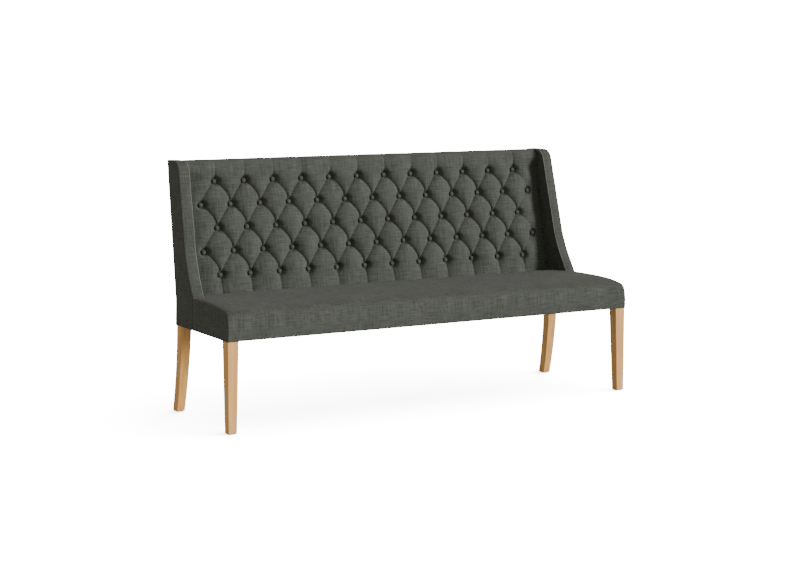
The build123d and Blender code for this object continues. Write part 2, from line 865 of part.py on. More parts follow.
# Seat suspension
def make_suspension():
    """Zigzag springs between the rails, their clips, and the hessian over them."""
    wire_height = rail_top + clip_thickness / 2
    front_bar = front_y + rail_middle_depth
    run = spring_turn_radius * 2
    straight = spring_width / 2 - spring_turn_radius
    with BuildPart() as spring:
        with BuildLine(Plane.XY.offset(wire_height)):
            Line((straight, front_bar), (-straight, front_bar))
            side = -1
            y = front_bar
            for _ in range(spring_turns):
                RadiusArc(
                    (side * straight, y),
                    (side * straight, y + run),
                    side * -spring_turn_radius,
                )
                y += run
                Line((side * straight, y), (-side * straight, y))
                side = -side
        with BuildSketch(Plane(origin=(straight, front_bar, wire_height), z_dir=(-1, 0, 0))):
            Circle(spring_wire_radius)
        sweep()
    rear_bar = front_bar + run * spring_turns
    spacing = overall_width * spring_field_share / (spring_count - 1)
    places = [((number - (spring_count - 1) / 2) * spacing, 0) for number in range(spring_count)]
    with BuildPart() as seat_springs:
        with Locations(*places):
            add(spring.part)
    save(seat_springs, "seat_springs")
    bore = spring_wire_radius + hole_clearance
    with BuildPart() as spring_clips:
        with BuildSketch(Plane.XY.offset(rail_top)):
            with Locations(*[(x, bar) for x, _ in places for bar in (front_bar, rear_bar)]):
                Rectangle(clip_length, clip_width)
        extrude(amount=clip_thickness)
        with BuildSketch(Plane.YZ.offset(-half_width)):
            with Locations((front_bar, wire_height), (rear_bar, wire_height)):
                Circle(bore)
        extrude(amount=overall_width, mode=Mode.SUBTRACT)
    save(spring_clips, "spring_clips")
    with BuildPart() as seat_hessian:
        add(
            base_block(
                0,
                rail_middle_depth,
                overall_width,
                rear_rail_depth - rail_middle_depth,
                spring_deck,
                spring_deck + hessian_thickness,
            )
        )
        trim_to_sides(wing_thickness + small_gap)
    save(seat_hessian, "seat_hessian")
    with BuildPart() as dust_cover:
        add(
            base_block(
                0,
                front_rail_depth,
                overall_width,
                rear_rail_depth + rear_rail_thickness - front_rail_depth,
                rail_bottom - dust_cover_thickness,
                rail_bottom - small_gap / 2,
            )
        )
        trim_to_sides(panel_inner_gap)
        with BuildSketch(Plane.XY.offset(leg_height)):
            with Locations(*both_sides([front_leg_spot, rear_leg_spot])):
                Rectangle(plate_width + overrun, plate_width + overrun)
        extrude(amount=overrun, mode=Mode.SUBTRACT)
    save(dust_cover, "dust_cover")


# Legs
def make_front_leg():
    """Square leg, upright on its outer faces and tapered on its inner ones."""
    outer_x = front_leg_spot[0] + leg_top / 2
    outer_y = front_leg_spot[1] - leg_top / 2
    with BuildPart() as front_leg:
        with BuildSketch(Plane.XY.offset(leg_height)):
            with Locations((outer_x, outer_y)):
                Rectangle(leg_top, leg_top, align=(Align.MAX, Align.MIN))
        with BuildSketch(Plane.XY.offset(glide_thickness)):
            with Locations((outer_x, outer_y)):
                Rectangle(leg_foot, leg_foot, align=(Align.MAX, Align.MIN))
        loft()
        arrises = front_leg.edges().filter_by(lambda edge: edge.length > leg_height / 2)
        fillet(arrises, leg_arris)
        with BuildSketch(Plane.XY.offset(leg_height)):
            with Locations(front_leg_spot):
                Circle(bolt_radius + hole_clearance)
        extrude(amount=-bolt_reach - small_gap, mode=Mode.SUBTRACT)
    save_pair(front_leg, "front_leg")


def make_rear_leg():
    """Sabre leg: its front and rear faces sweep back, its inner face tapers."""
    outer_x = rear_leg_spot[0] + leg_top / 2
    middle_height = leg_height / 2
    middle_rear = front_y + rear_leg_middle_depth
    foot_rear = front_y + rear_leg_foot_depth
    top_rear = front_y + rear_leg_top_depth
    taper = Plane(
        origin=(outer_x - leg_top, 0, leg_height),
        x_dir=(0, 1, 0),
        z_dir=(leg_height - glide_thickness, 0, leg_top - leg_foot),
    )
    with BuildPart() as rear_leg:
        with BuildSketch(Plane.YZ.offset(outer_x - leg_top)):
            with BuildLine():
                ThreePointArc(
                    (top_rear, leg_height),
                    (middle_rear, middle_height),
                    (foot_rear, glide_thickness),
                )
                Line((foot_rear, glide_thickness), (foot_rear - rear_leg_thickness, glide_thickness))
                ThreePointArc(
                    (foot_rear - rear_leg_thickness, glide_thickness),
                    (middle_rear - rear_leg_thickness, middle_height),
                    (top_rear - rear_leg_thickness, leg_height),
                )
                Line((top_rear - rear_leg_thickness, leg_height), (top_rear, leg_height))
            make_face()
        extrude(amount=leg_top)
        split(bisect_by=taper, keep=Keep.TOP)
        arrises = rear_leg.edges().filter_by(lambda edge: edge.length > leg_height / 2)
        chamfer(arrises, leg_arris)
        with BuildSketch(Plane.XY.offset(leg_height)):
            with Locations(rear_bolt_spot):
                Circle(bolt_radius + hole_clearance)
        extrude(amount=-bolt_reach - small_gap, mode=Mode.SUBTRACT)
    save_pair(rear_leg, "rear_leg")


def make_leg_fixings():
    """Plates, bolts and glides of the four legs."""
    plates = both_sides([front_leg_spot, rear_leg_spot])
    bolts = both_sides([front_leg_spot, rear_bolt_spot])
    front_foot = (
        front_leg_spot[0] + (leg_top - leg_foot) / 2,
        front_leg_spot[1] - (leg_top - leg_foot) / 2,
    )
    rear_foot = (
        rear_leg_spot[0] + (leg_top - leg_foot) / 2,
        front_y + rear_leg_foot_depth - rear_leg_thickness / 2,
    )
    with BuildPart() as leg_plates:
        with BuildSketch(Plane.XY.offset(leg_height)):
            with Locations(*plates):
                Rectangle(plate_width, plate_width)
            with Locations(*bolts):
                Circle(bolt_radius + hole_clearance, mode=Mode.SUBTRACT)
        extrude(amount=rail_lift)
    save(leg_plates, "leg_plates")
    with BuildPart() as leg_bolts:
        with BuildSketch(Plane.XY.offset(leg_height - bolt_reach)):
            with Locations(*bolts):
                Circle(bolt_radius)
        extrude(amount=bolt_reach * 2 + rail_lift)
    save(leg_bolts, "leg_bolts")
    with BuildPart() as leg_glides:
        with BuildSketch():
            with Locations(*both_sides([front_foot, rear_foot])):
                RectangleRounded(glide_width, glide_width, leg_arris)
        extrude(amount=glide_thickness)
    save(leg_glides, "leg_glides")


make_seat()
make_wings()
make_back()
make_back_frame()
make_seat_frame()
make_suspension()
make_front_leg()
make_rear_leg()
make_leg_fixings()
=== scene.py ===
# %% [markdown]
# # A deep-buttoned dining sofa
#
# The sofa is a sprung bench seat on four oak legs, with a buttoned back between two padded
# wings. The imported CAD model holds its timber, springs and plain forms in metres. This
# lesson dresses it: each cell makes one soft piece or one finish over the fixed frame.
#
# The first step loads the frame and keeps its parts, whose boxes are read later.

# %% Load the frame
import cmath
import json
import math

import bmesh
import bpy
from mathutils import Matrix, Vector, noise


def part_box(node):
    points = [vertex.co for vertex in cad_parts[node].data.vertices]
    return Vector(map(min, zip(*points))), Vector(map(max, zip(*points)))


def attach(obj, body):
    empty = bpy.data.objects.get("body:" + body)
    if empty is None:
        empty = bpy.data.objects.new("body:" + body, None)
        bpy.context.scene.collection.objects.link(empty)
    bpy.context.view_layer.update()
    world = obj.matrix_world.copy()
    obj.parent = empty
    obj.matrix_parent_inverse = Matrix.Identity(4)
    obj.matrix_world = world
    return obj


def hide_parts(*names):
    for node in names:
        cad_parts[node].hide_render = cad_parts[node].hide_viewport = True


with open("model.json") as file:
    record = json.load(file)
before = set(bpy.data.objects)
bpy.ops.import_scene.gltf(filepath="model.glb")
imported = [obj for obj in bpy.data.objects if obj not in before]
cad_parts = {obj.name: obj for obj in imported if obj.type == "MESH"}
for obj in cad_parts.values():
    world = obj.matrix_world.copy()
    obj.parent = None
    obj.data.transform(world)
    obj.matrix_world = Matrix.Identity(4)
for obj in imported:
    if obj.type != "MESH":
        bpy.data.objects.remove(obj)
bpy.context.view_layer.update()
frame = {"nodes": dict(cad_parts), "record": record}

# %% [markdown]
# ## The shared measures
#
# Everything stands in one frame: the floor is at zero, the front looks along -Y. A place on
# the sofa is easiest to give as a depth from the front face and a height above the underside
# of the upholstery, because that is how an upholsterer measures. The two sides close in a
# little towards the rear and the top, so one function gives the half width at any place.

# %% Measures and places
MM = 0.001
HALF_WIDTH = 900 * MM
FRONT_Y = -297.25 * MM
UNDERSIDE = 343 * MM
TOE = 18.8 / 501
LEAN = 15.5 / 632
WING_THICKNESS = 45 * MM
LINE_DEPTH = 531.2 * MM
LINE_HEIGHT = 545.4 * MM
RAKE = math.radians(10.69)
UP_SLOPE = Vector((0, math.sin(RAKE), math.cos(RAKE)))
TO_FRONT = Vector((0, -math.cos(RAKE), math.sin(RAKE)))
LINE_ORIGIN = Vector((0, FRONT_Y + LINE_DEPTH, UNDERSIDE + LINE_HEIGHT))


def side_x(depth, height):
    """Half width of the sofa at a depth from the front and a height above the underside."""
    return HALF_WIDTH - TOE * depth - LEAN * height


def at(x, depth, height):
    """Point from its X, its depth and its height."""
    return Vector((x, FRONT_Y + depth, UNDERSIDE + height))


def depth_and_height(point):
    """Depth and height of a point."""
    return point.y - FRONT_Y, point.z - UNDERSIDE


def on_back(x, rise, front):
    """Point on the raked back: up its slope and in front of the line of the buttons."""
    return LINE_ORIGIN + Vector((x, 0, 0)) + UP_SLOPE * rise + TO_FRONT * front


def back_depth(height, behind):
    """Depth of a plane behind the line of the buttons and raked as it is, at a height."""
    return LINE_DEPTH + (height - LINE_HEIGHT) * math.tan(RAKE) + behind / math.cos(RAKE)


print("half width at mid-back", side_x(LINE_DEPTH, LINE_HEIGHT))

# %% [markdown]
# ## Helpers for nodes
#
# In Blender a finish is a tree of nodes whose sockets are linked. With these helpers each
# finish below reads as a short recipe.

# %% Node helpers
def feed(tree, sockets, sources):
    """Give sockets their values, or link them to other sockets."""
    for name, source in sources.items():
        if isinstance(source, bpy.types.NodeSocket):
            tree.links.new(source, sockets[name])
        else:
            sockets[name].default_value = source


def add_node(tree, kind, sources, **settings):
    """New shader node with its settings, and its inputs fed by name or number."""
    node = tree.nodes.new("ShaderNode" + kind)
    for name, value in settings.items():
        setattr(node, name, value)
    feed(tree, node.inputs, sources)
    return node


def mix_colour(tree, share, low, high):
    """Socket with the mix of two colours."""
    sources = {"Factor": share, 6: low, 7: high}
    return add_node(tree, "Mix", sources, data_type="RGBA").outputs[2]


def camera_ray(tree):
    """Socket that is 1 only for rays straight from the camera."""
    return add_node(tree, "LightPath", {}).outputs["Is Camera Ray"]


def room_place(tree):
    """Socket with the place of each point in metres."""
    return add_node(tree, "TexCoord", {}).outputs["Object"]


def new_material(name):
    """Plain material, its node tree and the inputs of its shader."""
    material = bpy.data.materials.new(name)
    material.use_nodes = True
    tree = material.node_tree
    return material, tree, tree.nodes["Principled BSDF"].inputs


# %% [markdown]
# ## The camera and the light
#
# The camera stands where the photograph was taken, a little to the left of the sofa and
# looking down on it. One soft light from the front right, low enough to graze the back,
# gives the light side of each tuft, and a warm even glow from the room keeps the shaded
# sides from going black. Room and floor are far brighter for the camera than for the sofa,
# so both are lost in white. Into the floor's white a faint shadow is painted for the camera,
# where the floor, looking towards the light, sees little of the room.

# %% Camera, lamps and floor
CAMERA_PLACE = (-3.7663, -6.3463, 1.3969)
CAMERA_TURN = (math.radians(82.694), 0, math.radians(-30.571))
KEY_TRAVEL = Vector((-0.66, 0.69, -0.23))
ROOM_GLOW = (0.50, 0.48, 0.43, 1)
WHITE = 20.0
SHADED_WHITE = 4.0
FLOOR_SIZE = 40
FLOOR_COLOUR = (0.5, 0.49, 0.46, 1)
SHADOW_REACH = 1.0


def add_object(name, data):
    """New object in the scene with its data."""
    thing = bpy.data.objects.new(name, data)
    bpy.context.collection.objects.link(thing)
    return thing


def new_grid(columns, rows, size=1):
    """Flat grid of cells from -size to size both ways, as a bmesh."""
    bm = bmesh.new()
    bmesh.ops.create_grid(bm, x_segments=columns, y_segments=rows, size=size)
    return bm


def add_mesh(bm, name, material):
    """Turn a bmesh into an object of the scene with one material."""
    mesh = bpy.data.meshes.new(name)
    bm.to_mesh(mesh)
    bm.free()
    mesh.materials.append(material)
    return add_object(name, mesh)


camera_data = bpy.data.cameras.new("camera")
camera_data.sensor_width = 36
camera_data.lens = 84.75
camera = add_object("camera", camera_data)
camera.location = CAMERA_PLACE
camera.rotation_euler = CAMERA_TURN
bpy.context.scene.camera = camera

key_data = bpy.data.lights.new("key", "SUN")
key_data.angle = math.radians(20)
key_data.energy = 4.15
key_data.color = (0.98, 1, 0.99)
key = add_object("key", key_data)
key.rotation_euler = KEY_TRAVEL.to_track_quat("-Z", "Y").to_euler()

room = bpy.data.worlds.new("room")
bpy.context.scene.world = room
room.use_nodes = True
room_tree = room.node_tree
glow = mix_colour(room_tree, camera_ray(room_tree), ROOM_GLOW, (WHITE, WHITE, WHITE, 1))
feed(room_tree, room_tree.nodes["Background"].inputs, {"Color": glow})

floor_material, floor_tree, floor_shader = new_material("pale_floor")
feed(floor_tree, floor_shader, {"Base Color": FLOOR_COLOUR, "Roughness": 0.9})
# Painted shadow: for the camera the floor glows white, darker where ambient occlusion, leaned
# towards the key light, finds the sofa near.
painted_shadow_lean = add_node(floor_tree, "CombineXYZ", {"X": 0.7, "Y": -0.25, "Z": 0.67})
painted_shadow_ao = add_node(
    floor_tree, "AmbientOcclusion",
    {"Distance": SHADOW_REACH, "Normal": painted_shadow_lean.outputs["Vector"]},
)
painted_shadow_white = add_node(
    floor_tree, "MapRange",
    {"Value": painted_shadow_ao.outputs["AO"], "From Min": 0.4, "From Max": 0.97,
     "To Min": SHADED_WHITE, "To Max": WHITE},
)
seen = add_node(floor_tree, "Emission", {"Strength": painted_shadow_white.outputs["Result"]})
by_ray = add_node(
    floor_tree, "MixShader",
    {"Fac": camera_ray(floor_tree), 1: floor_tree.nodes["Principled BSDF"].outputs["BSDF"],
     2: seen.outputs["Emission"]},
)
floor_output = floor_tree.nodes["Material Output"]
feed(floor_tree, floor_output.inputs, {"Surface": by_ray.outputs["Shader"]})
floor = add_mesh(new_grid(1, 1, FLOOR_SIZE), "floor", floor_material)
print("camera", CAMERA_PLACE, "key light", key_data.energy)

# %% [markdown]
# ## The woven cover
#
# The cloth is a slubby linen weave: threads of slightly different greys cross each other,
# and thick places in the yarn show as short light and dark dashes both ways. A node group
# makes this once. Noises, each drawn out along one thread direction, give the dashes, and
# two fine waves give the threads themselves for the bump. It reads the piece's own map, so
# the threads follow the cloth over every tuft.

# %% Weave node group
FINE_DASHES = ((44, 640, 1), (640, 40, 1))
THICK_DASHES = ((15, 210, 1), (210, 13, 1))
CLOUDS = (9, 7, 1)
FLECKS = (900, 900, 1)
THREADS = 160


def math_node(tree, operation, first, second=None, third=None, clamp=False):
    """Math node whose inputs are sockets or numbers; returns its output."""
    values = [value for value in (first, second, third) if value is not None]
    node = add_node(tree, "Math", {}, operation=operation, use_clamp=clamp)
    feed(tree, node.inputs, dict(enumerate(values)))
    return node.outputs[0]


def stretched_noise(tree, vector, scale, detail=2.0, roughness=0.5):
    """Noise drawn out by a different scale along each axis; returns its value."""
    mapping = add_node(tree, "Mapping", {"Vector": vector, "Scale": scale})
    return add_node(
        tree, "TexNoise",
        {"Vector": mapping.outputs["Vector"], "Scale": 1.0, "Detail": detail,
         "Roughness": roughness},
    ).outputs["Fac"]


def thread_wave(tree, vector, direction):
    """Fine parallel threads across one direction; returns their height."""
    return add_node(
        tree, "TexWave",
        {"Vector": vector, "Scale": THREADS, "Distortion": 0.6, "Detail": 1.0},
        bands_direction=direction,
    ).outputs["Fac"]


def start_group(name, place, amount):
    """Group from a place, two colours and an amount to a colour, a height and a roughness."""
    group = bpy.data.node_groups.new(name, "ShaderNodeTree")
    for socket, kind, in_out in (
        (place, "Vector", "INPUT"), ("Dark", "Color", "INPUT"), ("Light", "Color", "INPUT"),
        (amount, "Float", "INPUT"), ("Color", "Color", "OUTPUT"),
        ("Height", "Float", "OUTPUT"), ("Roughness", "Float", "OUTPUT"),
    ):
        group.interface.new_socket(name=socket, in_out=in_out, socket_type="NodeSocket" + kind)
    return group, group.nodes.new("NodeGroupInput").outputs


def end_group(group, colour, height, roughness):
    """Link the results of a group to its output."""
    output = group.nodes.new("NodeGroupOutput")
    feed(group, output.inputs, {0: colour, 1: height, 2: roughness})


def make_weave_group():
    """Slub weave from a map in metres."""
    group, given = start_group("slub_weave", "Map", "Slub")
    fine = [stretched_noise(group, given["Map"], scale, 2.0, 0.6) for scale in FINE_DASHES]
    thick = [stretched_noise(group, given["Map"], scale, 2.0, 0.6) for scale in THICK_DASHES]
    cloud = stretched_noise(group, given["Map"], CLOUDS)
    fleck = stretched_noise(group, given["Map"], FLECKS, 1.0)
    threads = math_node(group, "MULTIPLY_ADD", math_node(group, "ADD", *fine), 0.8, -0.8)
    threads = math_node(group, "MULTIPLY_ADD", math_node(group, "ADD", *thick), 1.3, threads)
    threads = math_node(group, "SUBTRACT", threads, 0.8)
    threads = math_node(group, "MULTIPLY", threads, given["Slub"])
    tone = math_node(group, "MULTIPLY_ADD", cloud, 0.5, threads)
    tone = math_node(group, "MULTIPLY_ADD", fleck, 0.5, tone)
    tone = math_node(group, "SUBTRACT", tone, 0.5, clamp=True)
    waves = [thread_wave(group, given["Map"], direction) for direction in "XY"]
    height = math_node(group, "MULTIPLY", *waves)
    height = math_node(group, "MULTIPLY_ADD", threads, 0.7, height)
    colour = mix_colour(group, tone, given["Dark"], given["Light"])
    end_group(group, colour, height, math_node(group, "MULTIPLY_ADD", tone, -0.12, 0.92))
    return group


weave_group = make_weave_group()


# %% Cloth material
COVER_DARK = (0.038, 0.041, 0.0365)
COVER_LIGHT = (0.100, 0.1055, 0.0945)
# Painted shade: how strongly the tufted cloth is darkened round the buttons, and how dark that
# painted shade is.
PIT_SHADE_STRENGTH = 0.25
PIT_SHADE_TONE = 0.2


def add_pattern(tree, group, place, dark, light, amount):
    """Results of a pattern's group, fed with its place, its two colours and its amount."""
    sources = {0: place, 1: (*dark, 1), 2: (*light, 1), 3: amount}
    return add_node(tree, "Group", sources, node_tree=group).outputs


def lay_pattern(tree, shader, pattern, colour, bump, distance):
    """Give a shader a colour and the roughness and bump of a pattern."""
    sources = {"Strength": bump, "Distance": distance, "Height": pattern["Height"]}
    normal = add_node(tree, "Bump", sources).outputs["Normal"]
    sources = {"Base Color": colour, "Roughness": pattern["Roughness"], "Normal": normal}
    feed(tree, shader, sources)


def cloth_material(name, dark, light, slub=1.0, bump=0.35, sheen=0.06, mapped=True, painted_pit_shade=0.0):
    """Woven cloth on a piece's map or in the room, with shade painted darker where its attribute
    marks the pits.
    """
    material, tree, shader = new_material(name)
    if mapped:
        place = add_node(tree, "UVMap", {}, uv_map="weave").outputs["UV"]
    else:
        place = room_place(tree)
    weave = add_pattern(tree, weave_group, place, dark, light, slub)
    colour = weave["Color"]
    # Painted shade: the colour is mixed towards a darker copy where the attribute marks the pits
    # round the buttons.
    if painted_pit_shade:
        pit_shade_mask = add_node(tree, "Attribute", {}, attribute_name="painted_pit_shade").outputs["Fac"]
        pit_shade_colour = (*[value * PIT_SHADE_TONE for value in dark], 1)
        colour = mix_colour(tree, math_node(tree, "MULTIPLY", pit_shade_mask, painted_pit_shade), colour, pit_shade_colour)
    lay_pattern(tree, shader, weave, colour, bump, 0.6 * MM)
    feed(tree, shader, {"Sheen Weight": sheen, "Sheen Roughness": 0.5, "Specular IOR Level": 0.12})
    return material


cover_cloth = cloth_material("cover_linen", COVER_DARK, COVER_LIGHT)
# The tufted back's cloth carries painted shade in the pits round its buttons.
pit_shaded_cloth = cloth_material("tufted_linen_painted_shade", COVER_DARK, COVER_LIGHT, painted_pit_shade=PIT_SHADE_STRENGTH)
print("weave group nodes", len(weave_group.nodes))

# %% [markdown]
# ## The buttoned back
#
# On the real sofa one wide piece of cloth is laid over wadding, and 62 buttons are pulled
# back through it with twine. The spare cloth between two buttons folds into a pleat, so the
# face becomes diamonds. From the first row the pleats run straight up over the top, and
# from the last row straight down behind the seat.
#
# A plain grid with a height painted on it would cut across the pleats in steps. Here the
# grid's columns follow the pleats: the pleat lines zigzag from row to row, every strip
# between two of them opens at one row and closes at a button on the next, and its cells
# are closest together at the folds, where the cloth turns most.

# %% Pleat lines
PITCH = 127.5 * MM
ROW_PITCH = 91.1 * MM
LAST_ROW = 4
SHORT_ROW = 12
OUTER_COLUMN = 12
STRIPS = 2 * OUTER_COLUMN + 1
STRIP_CELLS = 16
ROW_CELLS = 18
FOLD_GAP = 1.6 * MM
FOLD_BEND = 1.65
REFERENCE_WIDTH = side_x(LINE_DEPTH, LINE_HEIGHT - 2 * ROW_PITCH)


def fold_column(number, row):
    """Place of a zigzag pleat at a row, in half pitches from the middle."""
    if (number + row) % 2:
        return number + FOLD_GAP / PITCH
    return number + 1 - FOLD_GAP / PITCH


def fold_at(number, row):
    """Place of a zigzag pleat at any height, leaving each button faster than it arrives."""
    row = min(max(row, 0), LAST_ROW)
    above = min(int(row), LAST_ROW - 1)
    share = 1 - (1 - (row - above)) ** FOLD_BEND
    return fold_column(number, above) * (1 - share) + fold_column(number, above + 1) * share


def openness(number, row):
    """How far a strip has opened between its pleats: 0 at its buttons and 1 in between."""
    row = min(max(row, 0), LAST_ROW)
    return abs((row + 1 + number % 2) % 2 - 1)


def narrowing_at(point):
    """Width of the sofa at a point as a share of its width at mid-back."""
    return side_x(*depth_and_height(point)) / REFERENCE_WIDTH


print("pleat lines", 2 * OUTER_COLUMN)

# %% [markdown]
# The height of the cloth has three parts: the bottom of the pleats, the full round of the
# tuft between them, and a round pit at each button. The tuft is fuller just under its
# upper button and comes to a point at its lower one, because the wadding sinks. Small
# seeded differences from tuft to tuft keep it from looking stamped.

# %% Height of the cloth
PIT = 10.6 * MM
PIT_RING = (12 * MM, 20.5 * MM)
# Ring round each button where shade is painted into the cloth's colour.
PIT_SHADE_RING = (9 * MM, 17 * MM)
TUFT = 32.6 * MM
FULL_FRONT = TUFT - PIT
UPPER_END = (2.5, 0.5)
LOWER_END = (1.9, 0.62)
LEFT_FLANK = (2, 0.85)
RIGHT_FLANK = (2.1, 0.75)
PLEAT_RISE = 17 * MM
TOP_PLEAT_RISE = TUFT - 6 * MM
TOP_PLEAT_RUN = 22 * MM
TAIL_PLEAT_RISE = 19 * MM
TAIL_PLEAT_RATE = 3.2
ROLL_START = 50 * MM
ROLL_RADIUS = 39 * MM
ROLL_BEHIND = 20 * MM
ROLL_FRONT = 19 * MM
BOTTOM_RISE = -455 * MM
EDGE_TOP = 3 * MM
EDGE_GAIN = 9 * MM
EDGE_LOW = -8 * MM
EDGE_CLIMB = 0.4
EDGE_FALL = 0.3
EDGE_ROUND = (2.3, 0.62)
PUCKER = 0.7 * MM
PUCKER_RING = 24 * MM
PUCKER_WIDTH = 9 * MM
TUFT_VARIETY = 1.3 * MM
CLOTH_VARIETY = 0.9 * MM


def smooth_step(low, high, value):
    """Soft ramp from 0 at low to 1 at high."""
    share = min(max((value - low) / (high - low), 0), 1)
    return share * share * (3 - 2 * share)


def rounded(away, shape):
    """Round that is 1 where away is 0 and falls to 0 where it is 1; shape bends it."""
    bend, power = shape
    return (1 - away**bend) ** power


def pleat_front(rise):
    """Front of the cloth at the bottom of a pleat."""
    row = -rise / ROW_PITCH
    if rise > 0:
        return -PIT + TOP_PLEAT_RISE * (1 - math.exp(-rise / TOP_PLEAT_RUN))
    if row > LAST_ROW:
        return -PIT + TAIL_PLEAT_RISE * (1 - math.exp(-(row - LAST_ROW) * TAIL_PLEAT_RATE))
    return -PIT + PLEAT_RISE * abs(math.sin(math.pi * row)) ** 0.7


def tuft_front(number, rise):
    """Front of the cloth at the middle of a strip."""
    row = -rise / ROW_PITCH
    opened = openness(number, row)
    if rise > 0 or row > LAST_ROW:
        if opened < 0.5:
            return pleat_front(rise)
        eased = smooth_step(0, ROLL_START, rise)
        eased += 0.6 * smooth_step(LAST_ROW, LAST_ROW + 0.5, row)
        return FULL_FRONT + (ROLL_FRONT - FULL_FRONT) * eased
    below_its_button = int(row) % 2 == number % 2
    return -PIT + TUFT * rounded(1 - opened, UPPER_END if below_its_button else LOWER_END)


def nearest_button(column, rise):
    """Nearest button: its distance and direction on the flat of the back, column and row."""
    row = min(max(round(-rise / ROW_PITCH), 0), LAST_ROW)
    best = None
    for near in (row - 1, row, row + 1):
        if not 0 <= near <= LAST_ROW:
            continue
        limit = SHORT_ROW - 1 + near % 2
        button = 2 * round((column - (near + 1) % 2) / 2) + (near + 1) % 2
        button = min(max(button, -limit), limit)
        over = (column - button) * PITCH / 2
        up = rise + near * ROW_PITCH
        distance = math.hypot(over, up)
        if best is None or distance < best[0]:
            best = (distance, math.atan2(up, over), button, near)
    return best


def cloth_front(strip, share, column, rise):
    """Front of the cloth at any place of the back, before it turns over the roll."""
    number = strip - OUTER_COLUMN - 1
    base = pleat_front(rise)
    row = -rise / ROW_PITCH
    tuft_row = round(row / 2 + 0.5 * (strip % 2))
    variety = noise.noise(Vector((strip * 3.1, tuft_row * 5.3, 0)))
    if 0 < strip < STRIPS - 1:
        top = tuft_front(number, rise) + TUFT_VARIETY * variety
        flank = LEFT_FLANK if share < 0.5 else RIGHT_FLANK
        front = base + max(top - base, 0) * rounded(abs(2 * share - 1), flank)
    else:
        outward = share if strip else 1 - share
        even = 0.5 + 0.5 * math.cos(math.pi * min(max(row, 0), LAST_ROW))
        rolled = smooth_step(0, ROLL_START, rise)
        top = EDGE_TOP + EDGE_GAIN * even + (ROLL_FRONT - EDGE_TOP - EDGE_GAIN) * rolled
        low = EDGE_LOW + (ROLL_FRONT - EDGE_LOW) * rolled
        front = base + (top - base) * rounded(1 - min(outward / EDGE_CLIMB, 1), EDGE_ROUND)
        front += (low - top) * smooth_step(EDGE_FALL, 1, outward)
    distance, angle, button, near = nearest_button(column, rise)
    ring = math.exp(-((distance - PUCKER_RING) / PUCKER_WIDTH) ** 2)
    front += PUCKER * math.sin(angle * 7 + button * 1.7 + near) * ring
    front += CLOTH_VARIETY * noise.noise(Vector((column * 1.4, rise * 21, 2.0)))
    return -PIT + (front + PIT) * smooth_step(*PIT_RING, distance) ** 0.8


def turned_place(column_x, travel, front):
    """Point of the cloth: up the raked face, then over the roll to the rear."""
    if travel <= ROLL_START:
        return on_back(column_x, travel, front)
    turn = (travel - ROLL_START) / ROLL_RADIUS
    radius = front + ROLL_BEHIND
    radius += (ROLL_RADIUS - radius) * smooth_step(0.1, 1.6, turn) * 0.85
    rise = ROLL_START + radius * math.sin(turn)
    return on_back(column_x, rise, radius * math.cos(turn) - ROLL_BEHIND)


print("tallest tuft", round(tuft_front(0, -1.3 * ROW_PITCH) / MM, 1), "mm")

# %% [markdown]
# Now the grid is made and each of its points is moved to its place. The open rear is
# closed flat against the board, so the pad is one body. The helpers before it finish every
# cloth piece in the same way.

# %% Piece helpers
def turn_outwards(bm):
    """Turn the faces of a mesh one way, outwards where it is closed."""
    bmesh.ops.recalc_face_normals(bm, faces=bm.faces)


def write_uv(bm, place_of):
    """Lay the cloth's weave on a piece: place_of gives metres across and along the cloth."""
    layer = bm.loops.layers.uv.new("weave")
    for face in bm.faces:
        for loop in face.loops:
            loop[layer].uv = place_of(loop.vert, face)


def finish_piece(bm, name, material):
    """Turn a bmesh into a smooth piece with one material, riding on the frame."""
    piece = add_mesh(bm, name, material)
    piece.data.shade_smooth()
    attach(piece, "root")
    print(name, len(piece.data.polygons), "faces")
    return piece


def add_modifier(piece, name, kind, **values):
    """Add a modifier to a piece with its values set by name."""
    modifier = piece.modifiers.new(name, kind)
    for key, value in values.items():
        setattr(modifier, key, value)


# %% Tufted pad
BOTTOM_CELLS = 14
TOP_CELLS = 8
ROLL_CELLS = 18
BOARD_FRONT = -11.6 * MM
PAD_CLEARANCE = 0.8 * MM
RIM_DROP = 0.4 * MM
CROWDING = 0.65
COLUMN_TOTAL = STRIPS * STRIP_CELLS
ROW_TOTAL = BOTTOM_CELLS + ROW_CELLS * LAST_ROW + TOP_CELLS + ROLL_CELLS


def travel_at(step):
    """Length along the cloth at a row of the grid, from the first row of buttons."""
    if step <= BOTTOM_CELLS:
        return BOTTOM_RISE + (-LAST_ROW * ROW_PITCH - BOTTOM_RISE) * step / BOTTOM_CELLS
    step -= BOTTOM_CELLS
    if step <= ROW_CELLS * LAST_ROW:
        return -LAST_ROW * ROW_PITCH + step * ROW_PITCH / ROW_CELLS
    step -= ROW_CELLS * LAST_ROW
    if step <= TOP_CELLS:
        return ROLL_START * step / TOP_CELLS
    step -= TOP_CELLS
    return ROLL_START + math.pi * ROLL_RADIUS * step / ROLL_CELLS


